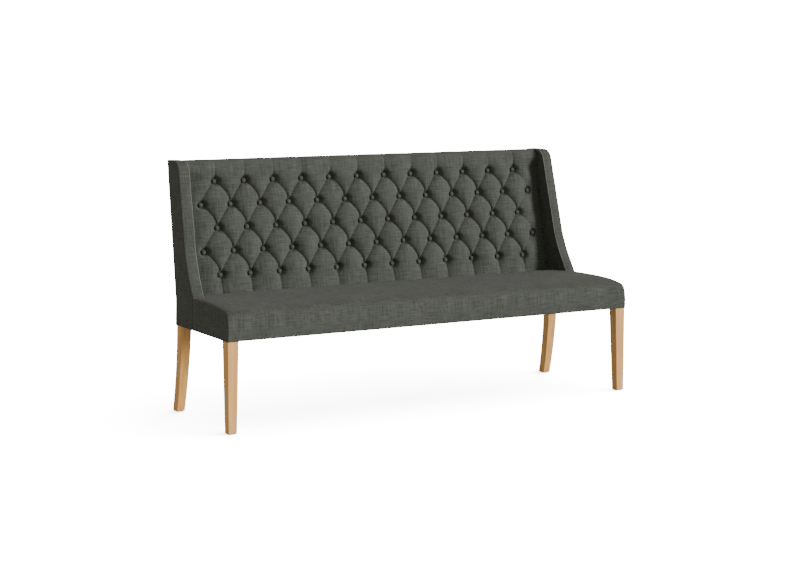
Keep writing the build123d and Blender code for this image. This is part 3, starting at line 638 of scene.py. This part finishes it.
def pad_point(column_step, row_step):
    """Place of a grid point of the pad, its place on the flat cloth and its share of painted pit
    shade.
    """
    strip = min(int(column_step / STRIP_CELLS), STRIPS - 1)
    share = column_step / STRIP_CELLS - strip
    travel = travel_at(row_step)
    rise = min(travel, ROLL_START)
    row = -travel / ROW_PITCH
    first = strip - OUTER_COLUMN - 1
    spread = (1 - CROWDING) * share + CROWDING * (0.5 - 0.5 * math.cos(math.pi * share))
    probe = on_back(0, rise, 0)
    narrowing = narrowing_at(probe)
    inner_x = side_x(*depth_and_height(probe)) - WING_THICKNESS - PAD_CLEARANCE
    edge = inner_x / narrowing / (PITCH / 2)
    left = -edge if strip == 0 else fold_at(first, row)
    right = edge if strip == STRIPS - 1 else fold_at(first + 1, row)
    column = left + (right - left) * spread
    front = cloth_front(strip, spread, column, rise)
    x = column * PITCH / 2 * narrowing
    # Painted shade: 1 at a button, falling to 0 across the ring round it.
    painted_pit_shade = 1 - smooth_step(*PIT_SHADE_RING, nearest_button(column, travel)[0])
    return turned_place(x, travel, front), (x, travel), painted_pit_shade


bm = new_grid(COLUMN_TOTAL, ROW_TOTAL)
# Each point carries its share of the painted shade round the buttons.
pit_shade_layer = bm.verts.layers.float.new("painted_pit_shade")
flat_places = {}
lowest_verts = []
rearmost_verts = []
for vert in bm.verts:
    column_step = round((vert.co.x + 1) / 2 * COLUMN_TOTAL)
    row_step = round((vert.co.y + 1) / 2 * ROW_TOTAL)
    if row_step == 0:
        lowest_verts.append(vert)
    if row_step == ROW_TOTAL:
        rearmost_verts.append(vert)
    vert.co, flat_places[vert], vert[pit_shade_layer] = pad_point(column_step, row_step)
rims = []
for row_verts, rise in ((lowest_verts, BOTTOM_RISE), (rearmost_verts, ROLL_START + RIM_DROP)):
    chosen = set(row_verts)
    edges = [edge for edge in bm.edges if set(edge.verts) <= chosen]
    made = bmesh.ops.extrude_edge_only(bm, edges=edges)["geom"]
    moved = {vert for vert in made if isinstance(vert, bmesh.types.BMVert)}
    for vert in moved:
        flat_places[vert] = (vert.co.x, rise)
        vert.co = on_back(vert.co.x, rise, BOARD_FRONT)
    made_edges = [edge for edge in made if isinstance(edge, bmesh.types.BMEdge)]
    rims += [edge for edge in made_edges if set(edge.verts) <= moved]
bmesh.ops.bridge_loops(bm, edges=rims)
bmesh.ops.holes_fill(bm, edges=[edge for edge in bm.edges if edge.is_boundary], sides=0)
turn_outwards(bm)
write_uv(bm, lambda vert, face: flat_places[vert])
tufted_pad = finish_piece(bm, "tufted_back", pit_shaded_cloth)
add_modifier(tufted_pad, "soften", "SUBSURF", levels=1, render_levels=1)
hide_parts("tufted_back_pad")

# %% [markdown]
# ## The buttons
#
# Each button is a metal shell covered with the same cloth: a shallow dome with a rolled
# rim, on a short shank that the twine holds. A sphere is pressed flat, more at the back than
# at the front, and set in each pit, and a small cone behind it is the shank.

# %% Covered buttons
BUTTON_RADIUS = 9.3 * MM
BUTTON_FRONT = -3.8 * MM
DOME_FRONT = 4.8 * MM
DOME_BACK = 2.6 * MM
SHANK_RADII = (4.4 * MM, 3 * MM)
SHANK_LENGTH = 7 * MM
SHANK_FRONT = -8.2 * MM
bm = bmesh.new()
button_count = 0
for row in range(LAST_ROW + 1):
    count = SHORT_ROW + row % 2
    rise = -row * ROW_PITCH
    narrowing = narrowing_at(on_back(0, rise, 0))
    for number in range(count):
        x = (number - (count - 1) / 2) * PITCH * narrowing
        tilt = Matrix.Rotation(0.10 * noise.noise(Vector((x * 9, row, 1))), 4, "X")
        made = bmesh.ops.create_uvsphere(bm, u_segments=16, v_segments=9, radius=1)["verts"]
        for vert in made:
            thickness = DOME_FRONT if vert.co.z > 0 else DOME_BACK
            local = tilt @ Vector((
                vert.co.x * BUTTON_RADIUS, vert.co.y * BUTTON_RADIUS, vert.co.z * thickness,
            ))
            vert.co = on_back(x + local.x, rise + local.y, local.z + BUTTON_FRONT)
        shank = bmesh.ops.create_cone(
            bm, cap_ends=True, segments=10, radius1=SHANK_RADII[0], radius2=SHANK_RADII[1],
            depth=SHANK_LENGTH,
        )["verts"]
        for vert in shank:
            vert.co = on_back(x + vert.co.x, rise + vert.co.y, vert.co.z + SHANK_FRONT)
        button_count += 1
turn_outwards(bm)
write_uv(bm, lambda vert, face: (vert.co.x, vert.co.z))
buttons = finish_piece(bm, "covered_buttons", cover_cloth)
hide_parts("back_buttons")
print("buttons", button_count)

# %% [markdown]
# ## The seat
#
# The seat cover runs in one piece from the underside, up the slightly bulging front face,
# round the soft front edge and back over the crown to the tufted pad. Its ends are separate
# panels, sewn on along the edge. The cross-section is one smooth curve through places
# measured on the end panel, and a grid is laid along it from side to side.

# %% Seat cross-section
# The sizes of the cross-section are in millimetres, as read on the end panel.
CROWN_SHARES = (
    (0, 1), (0.3, 1), (0.6, 0.98), (0.84, 0.92), (0.93, 0.82), (0.97, 0.68), (0.992, 0.45),
    (1, 0),
)
CROWN_DROP = 10
FACE_HEIGHT = 74
FACE_BULGE = 3
OVER_TOP = (
    (0, 74), (3.5, 90), (11, 101.5), (24, 108), (42, 112.2), (85, 118.6), (150, 123),
    (250, 125), (360, 123.8),
)
BELOW_TOP = (0, 40)
REAR_HEIGHT = 118
REAR_LEAD = (20, -8)
REAR_DIP = 6
DIP_RUN = 14
TUCK_STEP = (0.5, -7)
FACE_CELLS = 12
OVER_CELLS = 6
TUCK_CELLS = 4
OVER_ROWS = OVER_CELLS * len(OVER_TOP)
SEAT_ROWS = FACE_CELLS + OVER_ROWS + TUCK_CELLS
SEAT_COLUMNS = 150
SEAT_REAR_BEHIND = -16.2 * MM
SEAT_RIPPLE = 1.2 * MM


def arc_point(start, middle, end, share):
    """Point at a share of the arc that goes from start through middle to end."""
    first, second, third = (complex(*point) for point in (start, middle, end))
    ratio = (third - first) / (second - first)
    centre = first + (second - first) * (ratio - abs(ratio) ** 2) / (2j * ratio.imag)
    turn = cmath.phase((second - centre) / (first - centre))
    turn += cmath.phase((third - centre) / (second - centre))
    point = centre + (first - centre) * cmath.rect(1, turn * share)
    return point.real, point.imag


def crown(share):
    """How far the crown has risen at a share of the half width."""
    share = abs(share)
    for (near, high), (far, low) in zip(CROWN_SHARES, CROWN_SHARES[1:]):
        if share <= far:
            return high + (low - high) * (share - near) / (far - near)
    return 0


def curve_between(before, start, end, after, share):
    """Point at a share of the smooth curve from start to end, given its neighbours."""
    before, start, end, after = (Vector(point) for point in (before, start, end, after))
    span = (end - start).length
    leave = ((end - start) / span + (start - before) / (start - before).length) / 2 * span
    arrive = ((after - end) / (after - end).length + (end - start) / span) / 2 * span
    square, cube = share**2, share**3
    point = start * (2 * cube - 3 * square + 1) + leave * (cube - 2 * square + share)
    point += end * (3 * square - 2 * cube) + arrive * (cube - square)
    return point.x, point.y


def seat_profile(share, step):
    """Depth and height of the seat's cross-section at a row of the grid."""
    drop = CROWN_DROP * (1 - crown(share))
    rear = back_depth((REAR_HEIGHT - drop) * MM, SEAT_REAR_BEHIND) / MM
    if step <= FACE_CELLS:
        top = FACE_HEIGHT - drop
        depth, height = arc_point((0, 0), (-FACE_BULGE, top / 2), (0, top), step / FACE_CELLS)
        return depth * MM, height * MM
    step -= FACE_CELLS
    if step <= OVER_ROWS:
        lead = (rear + REAR_LEAD[0], REAR_HEIGHT + REAR_LEAD[1])
        places = [BELOW_TOP, *OVER_TOP, (rear, REAR_HEIGHT), lead]
        index = min(int(step / OVER_CELLS), len(OVER_TOP) - 1)
        depth, height = curve_between(*places[index : index + 4], step / OVER_CELLS - index)
        height -= REAR_DIP * smooth_step(rear - DIP_RUN, rear, depth) + drop
        return depth * MM, height * MM
    step -= OVER_ROWS
    height = REAR_HEIGHT - drop - REAR_DIP + TUCK_STEP[1] * step
    return (rear + TUCK_STEP[0] * step) * MM, height * MM


def column_share(step):
    """Share of the half width at a column of the grid, closer together near the ends."""
    share = 2 * step / SEAT_COLUMNS - 1
    return math.copysign(1 - (1 - abs(share)) ** 1.25, share)


def seat_point(column_step, row_step):
    """Place of one grid point of the seat, with slight ripples on its top."""
    share = column_share(column_step)
    depth, height = seat_profile(share, row_step)
    ripple = noise.noise(Vector((share * 7, depth * 9, height * 6)))
    ripple *= smooth_step(0, 60 * MM, height) * (1 - smooth_step(0.97, 1, abs(share)))
    return at(share * side_x(depth, height), depth, height + SEAT_RIPPLE * abs(ripple))


print("seat grid", SEAT_COLUMNS, "by", SEAT_ROWS)

# %% [markdown]
# The grid is cut away where the wings stand. The end panels are filled in, and the edge
# that joins them to the cover is bevelled. Before the wing each end panel turns inwards, so
# that nothing can be seen past it.

# %% Seat cover
WING_DEPTH = 331 * MM
PANEL_REAR = WING_DEPTH - 0.6 * MM
WING_GAP = 0.5 * MM
SEWN_EDGE = 2.6 * MM
PANEL_INSET = 1.2 * MM
PANEL_SWELL = 1.2 * MM
PANEL_TOP = 100 * MM
TURNED_IN = 30 * MM
COVER_THICKNESS = 1.8 * MM


def cut_across(bm, place, normal, geom=None):
    """Cut a mesh, or only the parts of it that are given, along a plane."""
    if geom is None:
        geom = bm.verts[:] + bm.edges[:] + bm.faces[:]
    bmesh.ops.bisect_plane(bm, geom=geom, plane_co=place, plane_no=normal)


def is_end(face):
    """Whether a face of the seat belongs to an end panel."""
    return abs(face.normal.x) > 0.99


def cut_ends(bm, place, normal):
    """Cut only the end panels of the seat along a plane."""
    faces = [face for face in bm.faces if is_end(face)]
    parts = dict.fromkeys(part for face in faces for part in (*face.edges, *face.verts))
    cut_across(bm, place, normal, [*faces, *parts])


bm = new_grid(SEAT_COLUMNS, SEAT_ROWS)
for vert in bm.verts:
    column_step = round((vert.co.x + 1) / 2 * SEAT_COLUMNS)
    row_step = round((vert.co.y + 1) / 2 * SEAT_ROWS)
    vert.co = seat_point(column_step, row_step)
cut_across(bm, at(0, PANEL_REAR, 0), (0, 1, 0))
for side in (-1, 1):
    inner_x = HALF_WIDTH - WING_THICKNESS - WING_GAP
    cut_across(bm, at(side * inner_x, 0, 0), (side, TOE, LEAN))
doomed = []
for face in bm.faces:
    middle = face.calc_center_median()
    depth, height = depth_and_height(middle)
    inside = side_x(depth, height) - WING_THICKNESS - WING_GAP
    if depth > PANEL_REAR and abs(middle.x) > inside:
        doomed.append(face)
bmesh.ops.delete(bm, geom=doomed, context="FACES")
panel_faces = []
for side in (-1, 1):
    chain = []
    for vert in bm.verts:
        depth, height = depth_and_height(vert.co)
        on_edge = abs(side * vert.co.x - side_x(depth, height)) < 0.05 * MM
        if on_edge and depth < PANEL_REAR + 0.1 * MM:
            chain.append(vert)
    chain.sort(key=lambda vert: vert.co.y * 0.6 + vert.co.z)
    corner = bm.verts.new(at(side * side_x(WING_DEPTH, 0), PANEL_REAR, 0))
    panel_faces.append(bm.faces.new(chain + [corner]))
turn_outwards(bm)
rim = {edge for face in panel_faces for edge in face.edges if len(edge.link_faces) == 2}
print("seat rim edges", len(rim))
bmesh.ops.bevel(
    bm, geom=list(rim), offset=SEWN_EDGE, segments=3, profile=0.5, affect="EDGES",
    material=-1, offset_type="OFFSET", clamp_overlap=False,
)
panels = [face for face in bm.faces if len(face.verts) > 30]
bmesh.ops.inset_region(bm, faces=panels, thickness=PANEL_INSET, use_even_offset=True)
for height in range(15, 120, 15):
    cut_ends(bm, at(0, 0, height * MM), (0, 0, 1))
for depth in range(20, 330, 20):
    cut_ends(bm, at(0, depth * MM, 0), (0, 1, 0))
for vert in bm.verts:
    if all(is_end(face) for face in vert.link_faces):
        depth, height = depth_and_height(vert.co)
        inside = min(depth, WING_DEPTH - depth, height, PANEL_TOP - height)
        swell = PANEL_SWELL * smooth_step(0, 40 * MM, inside)
        vert.co.x += math.copysign(swell, vert.co.x)
ends = [
    edge for edge in bm.edges
    if edge.is_boundary and is_end(edge.link_faces[0])
    and all(abs(depth_and_height(vert.co)[0] - PANEL_REAR) < 0.2 * MM for vert in edge.verts)
]
for part in bmesh.ops.extrude_edge_only(bm, edges=ends)["geom"]:
    if isinstance(part, bmesh.types.BMVert):
        part.co.x -= math.copysign(TURNED_IN, part.co.x)
print("seat faces", len(bm.faces), "edges turned in", len(ends))
turn_outwards(bm)
if max(bm.faces, key=lambda face: face.calc_center_median().z).normal.z < 0:
    bmesh.ops.reverse_faces(bm, faces=bm.faces)


def seat_cloth_place(vert, face):
    """Weave on the seat: along its cross-section on the cover, upright on the end panels."""
    if abs(face.normal.x) > 0.8:
        return vert.co.y, vert.co.z
    return vert.co.x, vert.co.z + (vert.co.y if face.normal.z > 0.5 else FRONT_Y)


write_uv(bm, seat_cloth_place)
seat = finish_piece(bm, "seat_upholstery", cover_cloth)
add_modifier(seat, "cloth", "SOLIDIFY", thickness=COVER_THICKNESS, offset=-1)
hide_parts("seat_cover")

# %% [markdown]
# ## The wings
#
# A wing is a plywood side with foam round it, covered by an outer panel, an inner panel and
# a border strip between them that runs up the curved front and over the top. Its flat
# outline has true arcs at the bend and at the top corner. The outline is extruded to the
# thickness of the wing, and a bevel makes its edge soft. Only the foot beside the seat
# keeps a square edge, because a round one would let the timber show in the joint.

# %% Wing outline
FLARE = math.radians(30.5)
WING_RAKE = math.radians(13.5)
WING_TOP = 630 * MM
WING_BEHIND = 57.4 * MM
FOOT_HEIGHT = 118 * MM
TOP_DEPTH = 497 * MM
KNEE_DEPTH = 504.4 * MM
BEND_RADIUS = 480 * MM
TOP_RADIUS = 50 * MM
ARC_CELLS = 14


def side_frame(side):
    """Origin and directions of the outer side face: rearwards, upwards and outwards."""
    outward = Vector((1, TOE, LEAN)).normalized()
    rearward = Vector((-TOE, 1, 0)).normalized()
    upward = outward.cross(rearward)
    origin = Vector((HALF_WIDTH, FRONT_Y, UNDERSIDE))
    flip = Matrix.Diagonal((side, 1, 1))
    return [flip @ vector for vector in (origin, rearward, upward, outward)]


def on_side(side, depth, height, inward):
    """Point on a wing from its depth, height and distance inside the outer face."""
    origin, rearward, upward, outward = side_frame(side)
    return origin + rearward * depth + upward * height - outward * inward


def wing_corners():
    """Corners of the wing's outline as depth, height and radius."""
    flare_start = WING_DEPTH - FOOT_HEIGHT * math.tan(FLARE)
    rake_start = TOP_DEPTH - WING_TOP * math.tan(WING_RAKE)
    bend = (rake_start - flare_start) / (math.tan(FLARE) - math.tan(WING_RAKE))
    knee = LINE_HEIGHT + (KNEE_DEPTH - back_depth(LINE_HEIGHT, WING_BEHIND)) / math.tan(RAKE)
    return [
        (WING_DEPTH, 0, 0),
        (WING_DEPTH, FOOT_HEIGHT, 0),
        (flare_start + bend * math.tan(FLARE), bend, BEND_RADIUS),
        (TOP_DEPTH, WING_TOP, TOP_RADIUS),
        (back_depth(WING_TOP, WING_BEHIND), WING_TOP, 0),
        (KNEE_DEPTH, knee, 0),
        (KNEE_DEPTH, 0, 0),
    ]


def rounded_outline():
    """Outline of the wing as depth and height, with its bend and top corner rounded."""
    corners = [Vector(corner[:2]) for corner in wing_corners()]
    radii = [corner[2] for corner in wing_corners()]
    points = []
    for index, (corner, radius) in enumerate(zip(corners, radii)):
        if not radius:
            points.append(corner)
            continue
        before = (corners[index - 1] - corner).normalized()
        after = (corners[(index + 1) % len(corners)] - corner).normalized()
        half = before.angle(after) / 2
        start, end = (corner + side * radius / math.tan(half) for side in (before, after))
        middle = corner + (before + after).normalized() * (radius / math.sin(half) - radius)
        shares = [step / ARC_CELLS for step in range(ARC_CELLS + 1)]
        points += [Vector(arc_point(start, middle, end, share)) for share in shares]
    return points


print("wing outline points", len(rounded_outline()))

# %% Wings
WING_EDGE = 5 * MM
WING_SWELL = 0.8 * MM


def wing_cloth_place(vert, face):
    """Weave on a wing: upright on the panels and on the border strip."""
    if abs(face.normal.x) > 0.7:
        return vert.co.y, vert.co.z
    return vert.co.x, vert.co.z + vert.co.y * 0.3


def make_wing(side, name):
    """One wing: outline, thickness, soft edge and a fine cut grid for the cloth."""
    bm = bmesh.new()
    outline = [bm.verts.new(on_side(side, *point, 0)) for point in rounded_outline()]
    made = bmesh.ops.extrude_face_region(bm, geom=[bm.faces.new(outline)])["geom"]
    outward = side_frame(side)[3]
    moved = [vert for vert in made if isinstance(vert, bmesh.types.BMVert)]
    bmesh.ops.translate(bm, verts=moved, vec=-outward * WING_THICKNESS)
    turn_outwards(bm)
    soft = []
    for edge in bm.edges:
        depth, height = depth_and_height((edge.verts[0].co + edge.verts[1].co) / 2)
        rear = max(back_depth(height, WING_BEHIND), KNEE_DEPTH)
        panels = [face for face in edge.link_faces if len(face.verts) > 8]
        if len(panels) == 1 and height > FOOT_HEIGHT and depth < rear - WING_EDGE:
            soft.append(edge)
    bmesh.ops.bevel(
        bm, geom=soft, offset=WING_EDGE, segments=4, profile=0.5, affect="EDGES", material=-1,
        clamp_overlap=True,
    )
    for height in range(30, 630, 25):
        cut_across(bm, on_side(side, 0, height * MM, 0), (0, 0, 1))
    for depth in range(345, 590, 25):
        cut_across(bm, on_side(side, depth * MM, 0, 0), (0, 1, 0))
    for vert in bm.verts:
        depth, height = depth_and_height(vert.co)
        swell = noise.noise(Vector((vert.co.x * 4, depth * 16, height * 9)))
        vert.co += outward * (WING_SWELL * swell * smooth_step(0, 40 * MM, height))
    turn_outwards(bm)
    write_uv(bm, wing_cloth_place)
    return finish_piece(bm, name, cover_cloth)


for side, name in ((1, "right"), (-1, "left")):
    wing = make_wing(side, f"{name}_wing_upholstery")
    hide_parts(f"{name}_wing_cover", f"{name}_wing_foam")

# %% [markdown]
# ## The seams
#
# Where the border strip meets the inner and outer panels the cloth is sewn with a plain
# closed seam, which stands up as a thin ridge. Each seam is one smooth tube along the
# outline, half sunk in the edge. The inner seam is given a lighter copy of the cloth, a
# painted highlight along its ridge; the outer seam keeps the cover's own colours.

# %% Wing seams
SEAM_RADIUS = 1.5 * MM
SEAM_SUNK = 1.6 * MM
OUTER_SEAM_SUNK = 1.4 * MM
SEAM_END = 4 * MM


def add_tube(name, points, radius, material):
    """Thin tube along a smooth line through points, as a mesh in its place."""
    curve = bpy.data.curves.new(name, "CURVE")
    curve.dimensions = "3D"
    curve.bevel_depth = radius
    curve.bevel_resolution = 2
    curve.use_fill_caps = True
    spline = curve.splines.new("POLY")
    spline.points.add(len(points) - 1)
    for spot, point in zip(spline.points, points):
        spot.co = (*point, 1)
    holder = add_object(name, curve)
    shaped = holder.evaluated_get(bpy.context.evaluated_depsgraph_get())
    bm = bmesh.new()
    bm.from_mesh(shaped.to_mesh())
    bpy.data.objects.remove(holder)
    bpy.data.curves.remove(curve)
    finish_piece(bm, name, material)


# Painted highlight: the inner seam's cloth is about twice as light as the cover, standing in for
# the light on its ridge.
seam_highlight_cloth = cloth_material("seam_highlight_linen", (0.13, 0.137, 0.125), (0.24, 0.25, 0.23), mapped=False)
cover_edge_cloth = cloth_material("cover_edge_linen", COVER_DARK, COVER_LIGHT, mapped=False)
for side, name in ((1, "right"), (-1, "left")):
    outline = rounded_outline()[1:-3]
    rear_depth = wing_corners()[4][0]
    for where, inward, cloth, radius in (
        ("inner", WING_THICKNESS - SEAM_SUNK, seam_highlight_cloth, SEAM_RADIUS),
        ("outer", OUTER_SEAM_SUNK, cover_edge_cloth, 0.8 * SEAM_RADIUS),
    ):
        points = []
        for index, point in enumerate(outline):
            before = outline[max(index - 1, 0)]
            after = outline[min(index + 1, len(outline) - 1)]
            along = (after - before).normalized()
            inset = point + Vector((along.y, -along.x)) * SEAM_SUNK
            points.append(on_side(side, inset.x, inset.y, inward))
        points.append(on_side(side, rear_depth - SEAM_END, WING_TOP - SEAM_SUNK, inward))
        add_tube(f"{name}_wing_seam_{where}", points, radius, cloth)

# %% [markdown]
# ## The outside back and the cloth under the seat
#
# The rear is a plain panel of the cover cloth, pulled over the frame and bent where the
# back starts to lean. Under the seat a thin black cloth is tacked to the rails; it keeps
# the dust in and sags very slightly between them.

# %% Outside back
REAR_DEPTH = 505 * MM
BACK_BEHIND = 58 * MM
BACK_RISE = ROLL_START + 1.7 * MM
BACK_TOP = LINE_HEIGHT + BACK_RISE * math.cos(RAKE) - BACK_BEHIND * math.sin(RAKE)
BACK_SWELL = 1.6 * MM
BACK_VARIETY = 0.8 * MM


def outside_point(share, climb):
    """Place on the outside back from shares across it and up it."""
    height = climb * BACK_TOP
    depth = max(back_depth(height, BACK_BEHIND), REAR_DEPTH)
    x = share * side_x(depth, height)
    edge = min((1 - abs(share)) * HALF_WIDTH, height, BACK_TOP - height)
    uneven = BACK_VARIETY * noise.noise(Vector((x * 3, height * 5, 4)))
    swell = BACK_SWELL * smooth_step(0, 70 * MM, edge) + uneven * smooth_step(0, 90 * MM, edge)
    return at(x, depth - COVER_THICKNESS + swell, height)


bm = new_grid(90, 36)
for vert in bm.verts:
    vert.co = outside_point(vert.co.x, (vert.co.y + 1) / 2)
turn_outwards(bm)
if bm.faces[0].normal.y < 0:
    bmesh.ops.reverse_faces(bm, faces=bm.faces)
write_uv(bm, lambda vert, face: (vert.co.x, vert.co.z))
outside_back = finish_piece(bm, "outside_back", cover_cloth)
add_modifier(outside_back, "cloth", "SOLIDIFY", thickness=COVER_THICKNESS, offset=1)
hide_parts("outside_back_cover")

# %% Cloth under the seat
UNDER_INSET = 17.4 * MM
UNDER_LIFT = 0.6 * MM
UNDER_SAG = 1 * MM
UNDER_THICKNESS = 0.5 * MM
LEG_GAP = 6 * MM
black_cloth = cloth_material("underside_cloth", (0.006,) * 3, (0.02,) * 3, 0.4, 0.2, 0.0)
under_low, under_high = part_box("dust_cover")
bm = new_grid(60, 18)
for vert in bm.verts:
    depth = under_low.y - FRONT_Y + (vert.co.y + 1) / 2 * (under_high.y - under_low.y)
    sag = UNDER_SAG * (1 - vert.co.x**2) * (1 - vert.co.y**2)
    x = vert.co.x * (side_x(depth, 0) - UNDER_INSET)
    vert.co = Vector((x, FRONT_Y + depth, under_low.z + UNDER_LIFT - sag))
leg_boxes = [
    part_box(f"{side}_{end}_leg") for side in ("left", "right") for end in ("front", "rear")
]
for low, high in leg_boxes:
    for normal in (Vector((1, 0, 0)), Vector((0, 1, 0))):
        cut_across(bm, low - normal * LEG_GAP, normal)
        cut_across(bm, high + normal * LEG_GAP, normal)


def in_leg_hole(point):
    """Whether a point of the cloth lies in the hole round a leg."""
    return any(
        low.x - LEG_GAP < point.x < high.x + LEG_GAP
        and low.y - LEG_GAP < point.y < high.y + LEG_GAP
        for low, high in leg_boxes
    )


doomed = [face for face in bm.faces if in_leg_hole(face.calc_center_median())]
bmesh.ops.delete(bm, geom=doomed, context="FACES")
turn_outwards(bm)
write_uv(bm, lambda vert, face: (vert.co.x, vert.co.y))
area = sum(face.calc_area() for face in bm.faces)
under_cloth = finish_piece(bm, "underside_cloth", black_cloth)
add_modifier(under_cloth, "cloth", "SOLIDIFY", thickness=UNDER_THICKNESS, offset=0)
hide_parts("dust_cover")

# %% [markdown]
# ## Oak, beech and the other finishes
#
# The legs are pale oak with a satin lacquer. Its grain runs up the leg as long thin
# streaks with darker pores, so the noise is drawn out along Z. The same group with other
# colours does for the beech rails and the plywood, whose grain runs along X.

# %% Grain node group
RINGS = (95, 95, 3.2)
BROAD_RINGS = (22, 22, 1.2)
PORES = (900, 900, 22)
PORE_LIMIT = 0.46


def make_grain_group():
    """Wood grain from object places."""
    group, given = start_group("wood_grain", "Place", "Pores")
    rings = stretched_noise(group, given["Place"], RINGS, 3.0, 0.55)
    broad = stretched_noise(group, given["Place"], BROAD_RINGS)
    pores = stretched_noise(group, given["Place"], PORES, 2.0, 0.6)
    tone = math_node(group, "MULTIPLY_ADD", rings, 1.5, -0.62)
    tone = math_node(group, "MULTIPLY_ADD", broad, 0.55, tone)
    pore_mask = math_node(group, "SUBTRACT", PORE_LIMIT, pores, clamp=True)
    pore_mask = math_node(group, "MULTIPLY", pore_mask, 4.0)
    pore_mask = math_node(group, "MULTIPLY", pore_mask, given["Pores"], clamp=True)
    tone = math_node(group, "SUBTRACT", tone, pore_mask, clamp=True)
    colour = mix_colour(group, tone, given["Dark"], given["Light"])
    height = math_node(group, "SUBTRACT", 1.0, pore_mask)
    end_group(group, colour, height, math_node(group, "MULTIPLY_ADD", pore_mask, 0.2, 0.42))
    return group


grain_group = make_grain_group()
print("grain group nodes", len(grain_group.nodes))

# %% Wood, metal, plastic and padding
SPECKLE = 0.18


def wood_material(name, dark, light, pores, turn=(0, 0, 0), coat=0.0):
    """Wood whose grain runs along Z, or along another axis when turned."""
    material, tree, shader = new_material(name)
    sources = {"Vector": room_place(tree), "Rotation": turn}
    place = add_node(tree, "Mapping", sources).outputs["Vector"]
    grain = add_pattern(tree, grain_group, place, dark, light, pores)
    lay_pattern(tree, shader, grain, grain["Color"], 0.25, 0.3 * MM)
    feed(tree, shader, {"Coat Weight": coat, "Coat Roughness": 0.3})
    return material


def plain_material(name, colour, metallic, roughness):
    """Metal, plastic or padding with a little uneven tone and roughness."""
    material, tree, shader = new_material(name)
    tone = stretched_noise(tree, room_place(tree), (120, 120, 120), 3.0)
    dark = (*[value * (1 - SPECKLE) for value in colour], 1)
    light = (*[min(value * (1 + SPECKLE), 1) for value in colour], 1)
    colour = mix_colour(tree, tone, dark, light)
    uneven = math_node(tree, "MULTIPLY_ADD", tone, 0.2, roughness - 0.1)
    feed(tree, shader, {"Base Color": colour, "Roughness": uneven, "Metallic": metallic})
    return material


# %% Finishes for the frame's own pieces
ALONG_X = (0, math.radians(90), 0)
frame_finishes = {
    "oak": wood_material("pale_oak", (0.67, 0.315, 0.078), (0.99, 0.56, 0.176), 0.5, coat=0.12),
    "beech": wood_material("beech", (0.42, 0.25, 0.14), (0.62, 0.42, 0.26), 0.3, ALONG_X),
    "birch_ply": wood_material("birch_ply", (0.5, 0.36, 0.22), (0.68, 0.52, 0.34), 0.2, ALONG_X),
    "foam": plain_material("cream_foam", (0.75, 0.68, 0.5), 0, 0.9),
    "wadding": plain_material("white_wadding", (0.85, 0.85, 0.82), 0, 0.95),
    "hessian": cloth_material(
        "brown_hessian", (0.2, 0.13, 0.06), (0.42, 0.3, 0.16), 1.3, 0.6, 0.1, mapped=False,
    ),
    "spring_steel": plain_material("spring_wire", (0.25, 0.26, 0.28), 1, 0.4),
    "zinc_steel": plain_material("zinc_plate", (0.62, 0.63, 0.64), 1, 0.35),
    "twine": plain_material("waxed_twine", (0.62, 0.55, 0.4), 0, 0.8),
    "plastic": plain_material("black_nylon", (0.03, 0.03, 0.03), 0, 0.45),
    "cover_fabric": cover_cloth,
    "black_cloth": black_cloth,
}
for row in frame["record"]["subparts"]:
    node = frame["nodes"].get(row["node"])
    if node is None:
        continue
    node.data.materials.clear()
    node.data.materials.append(frame_finishes[row["material_slot"]])
print("finishes", len(frame_finishes))
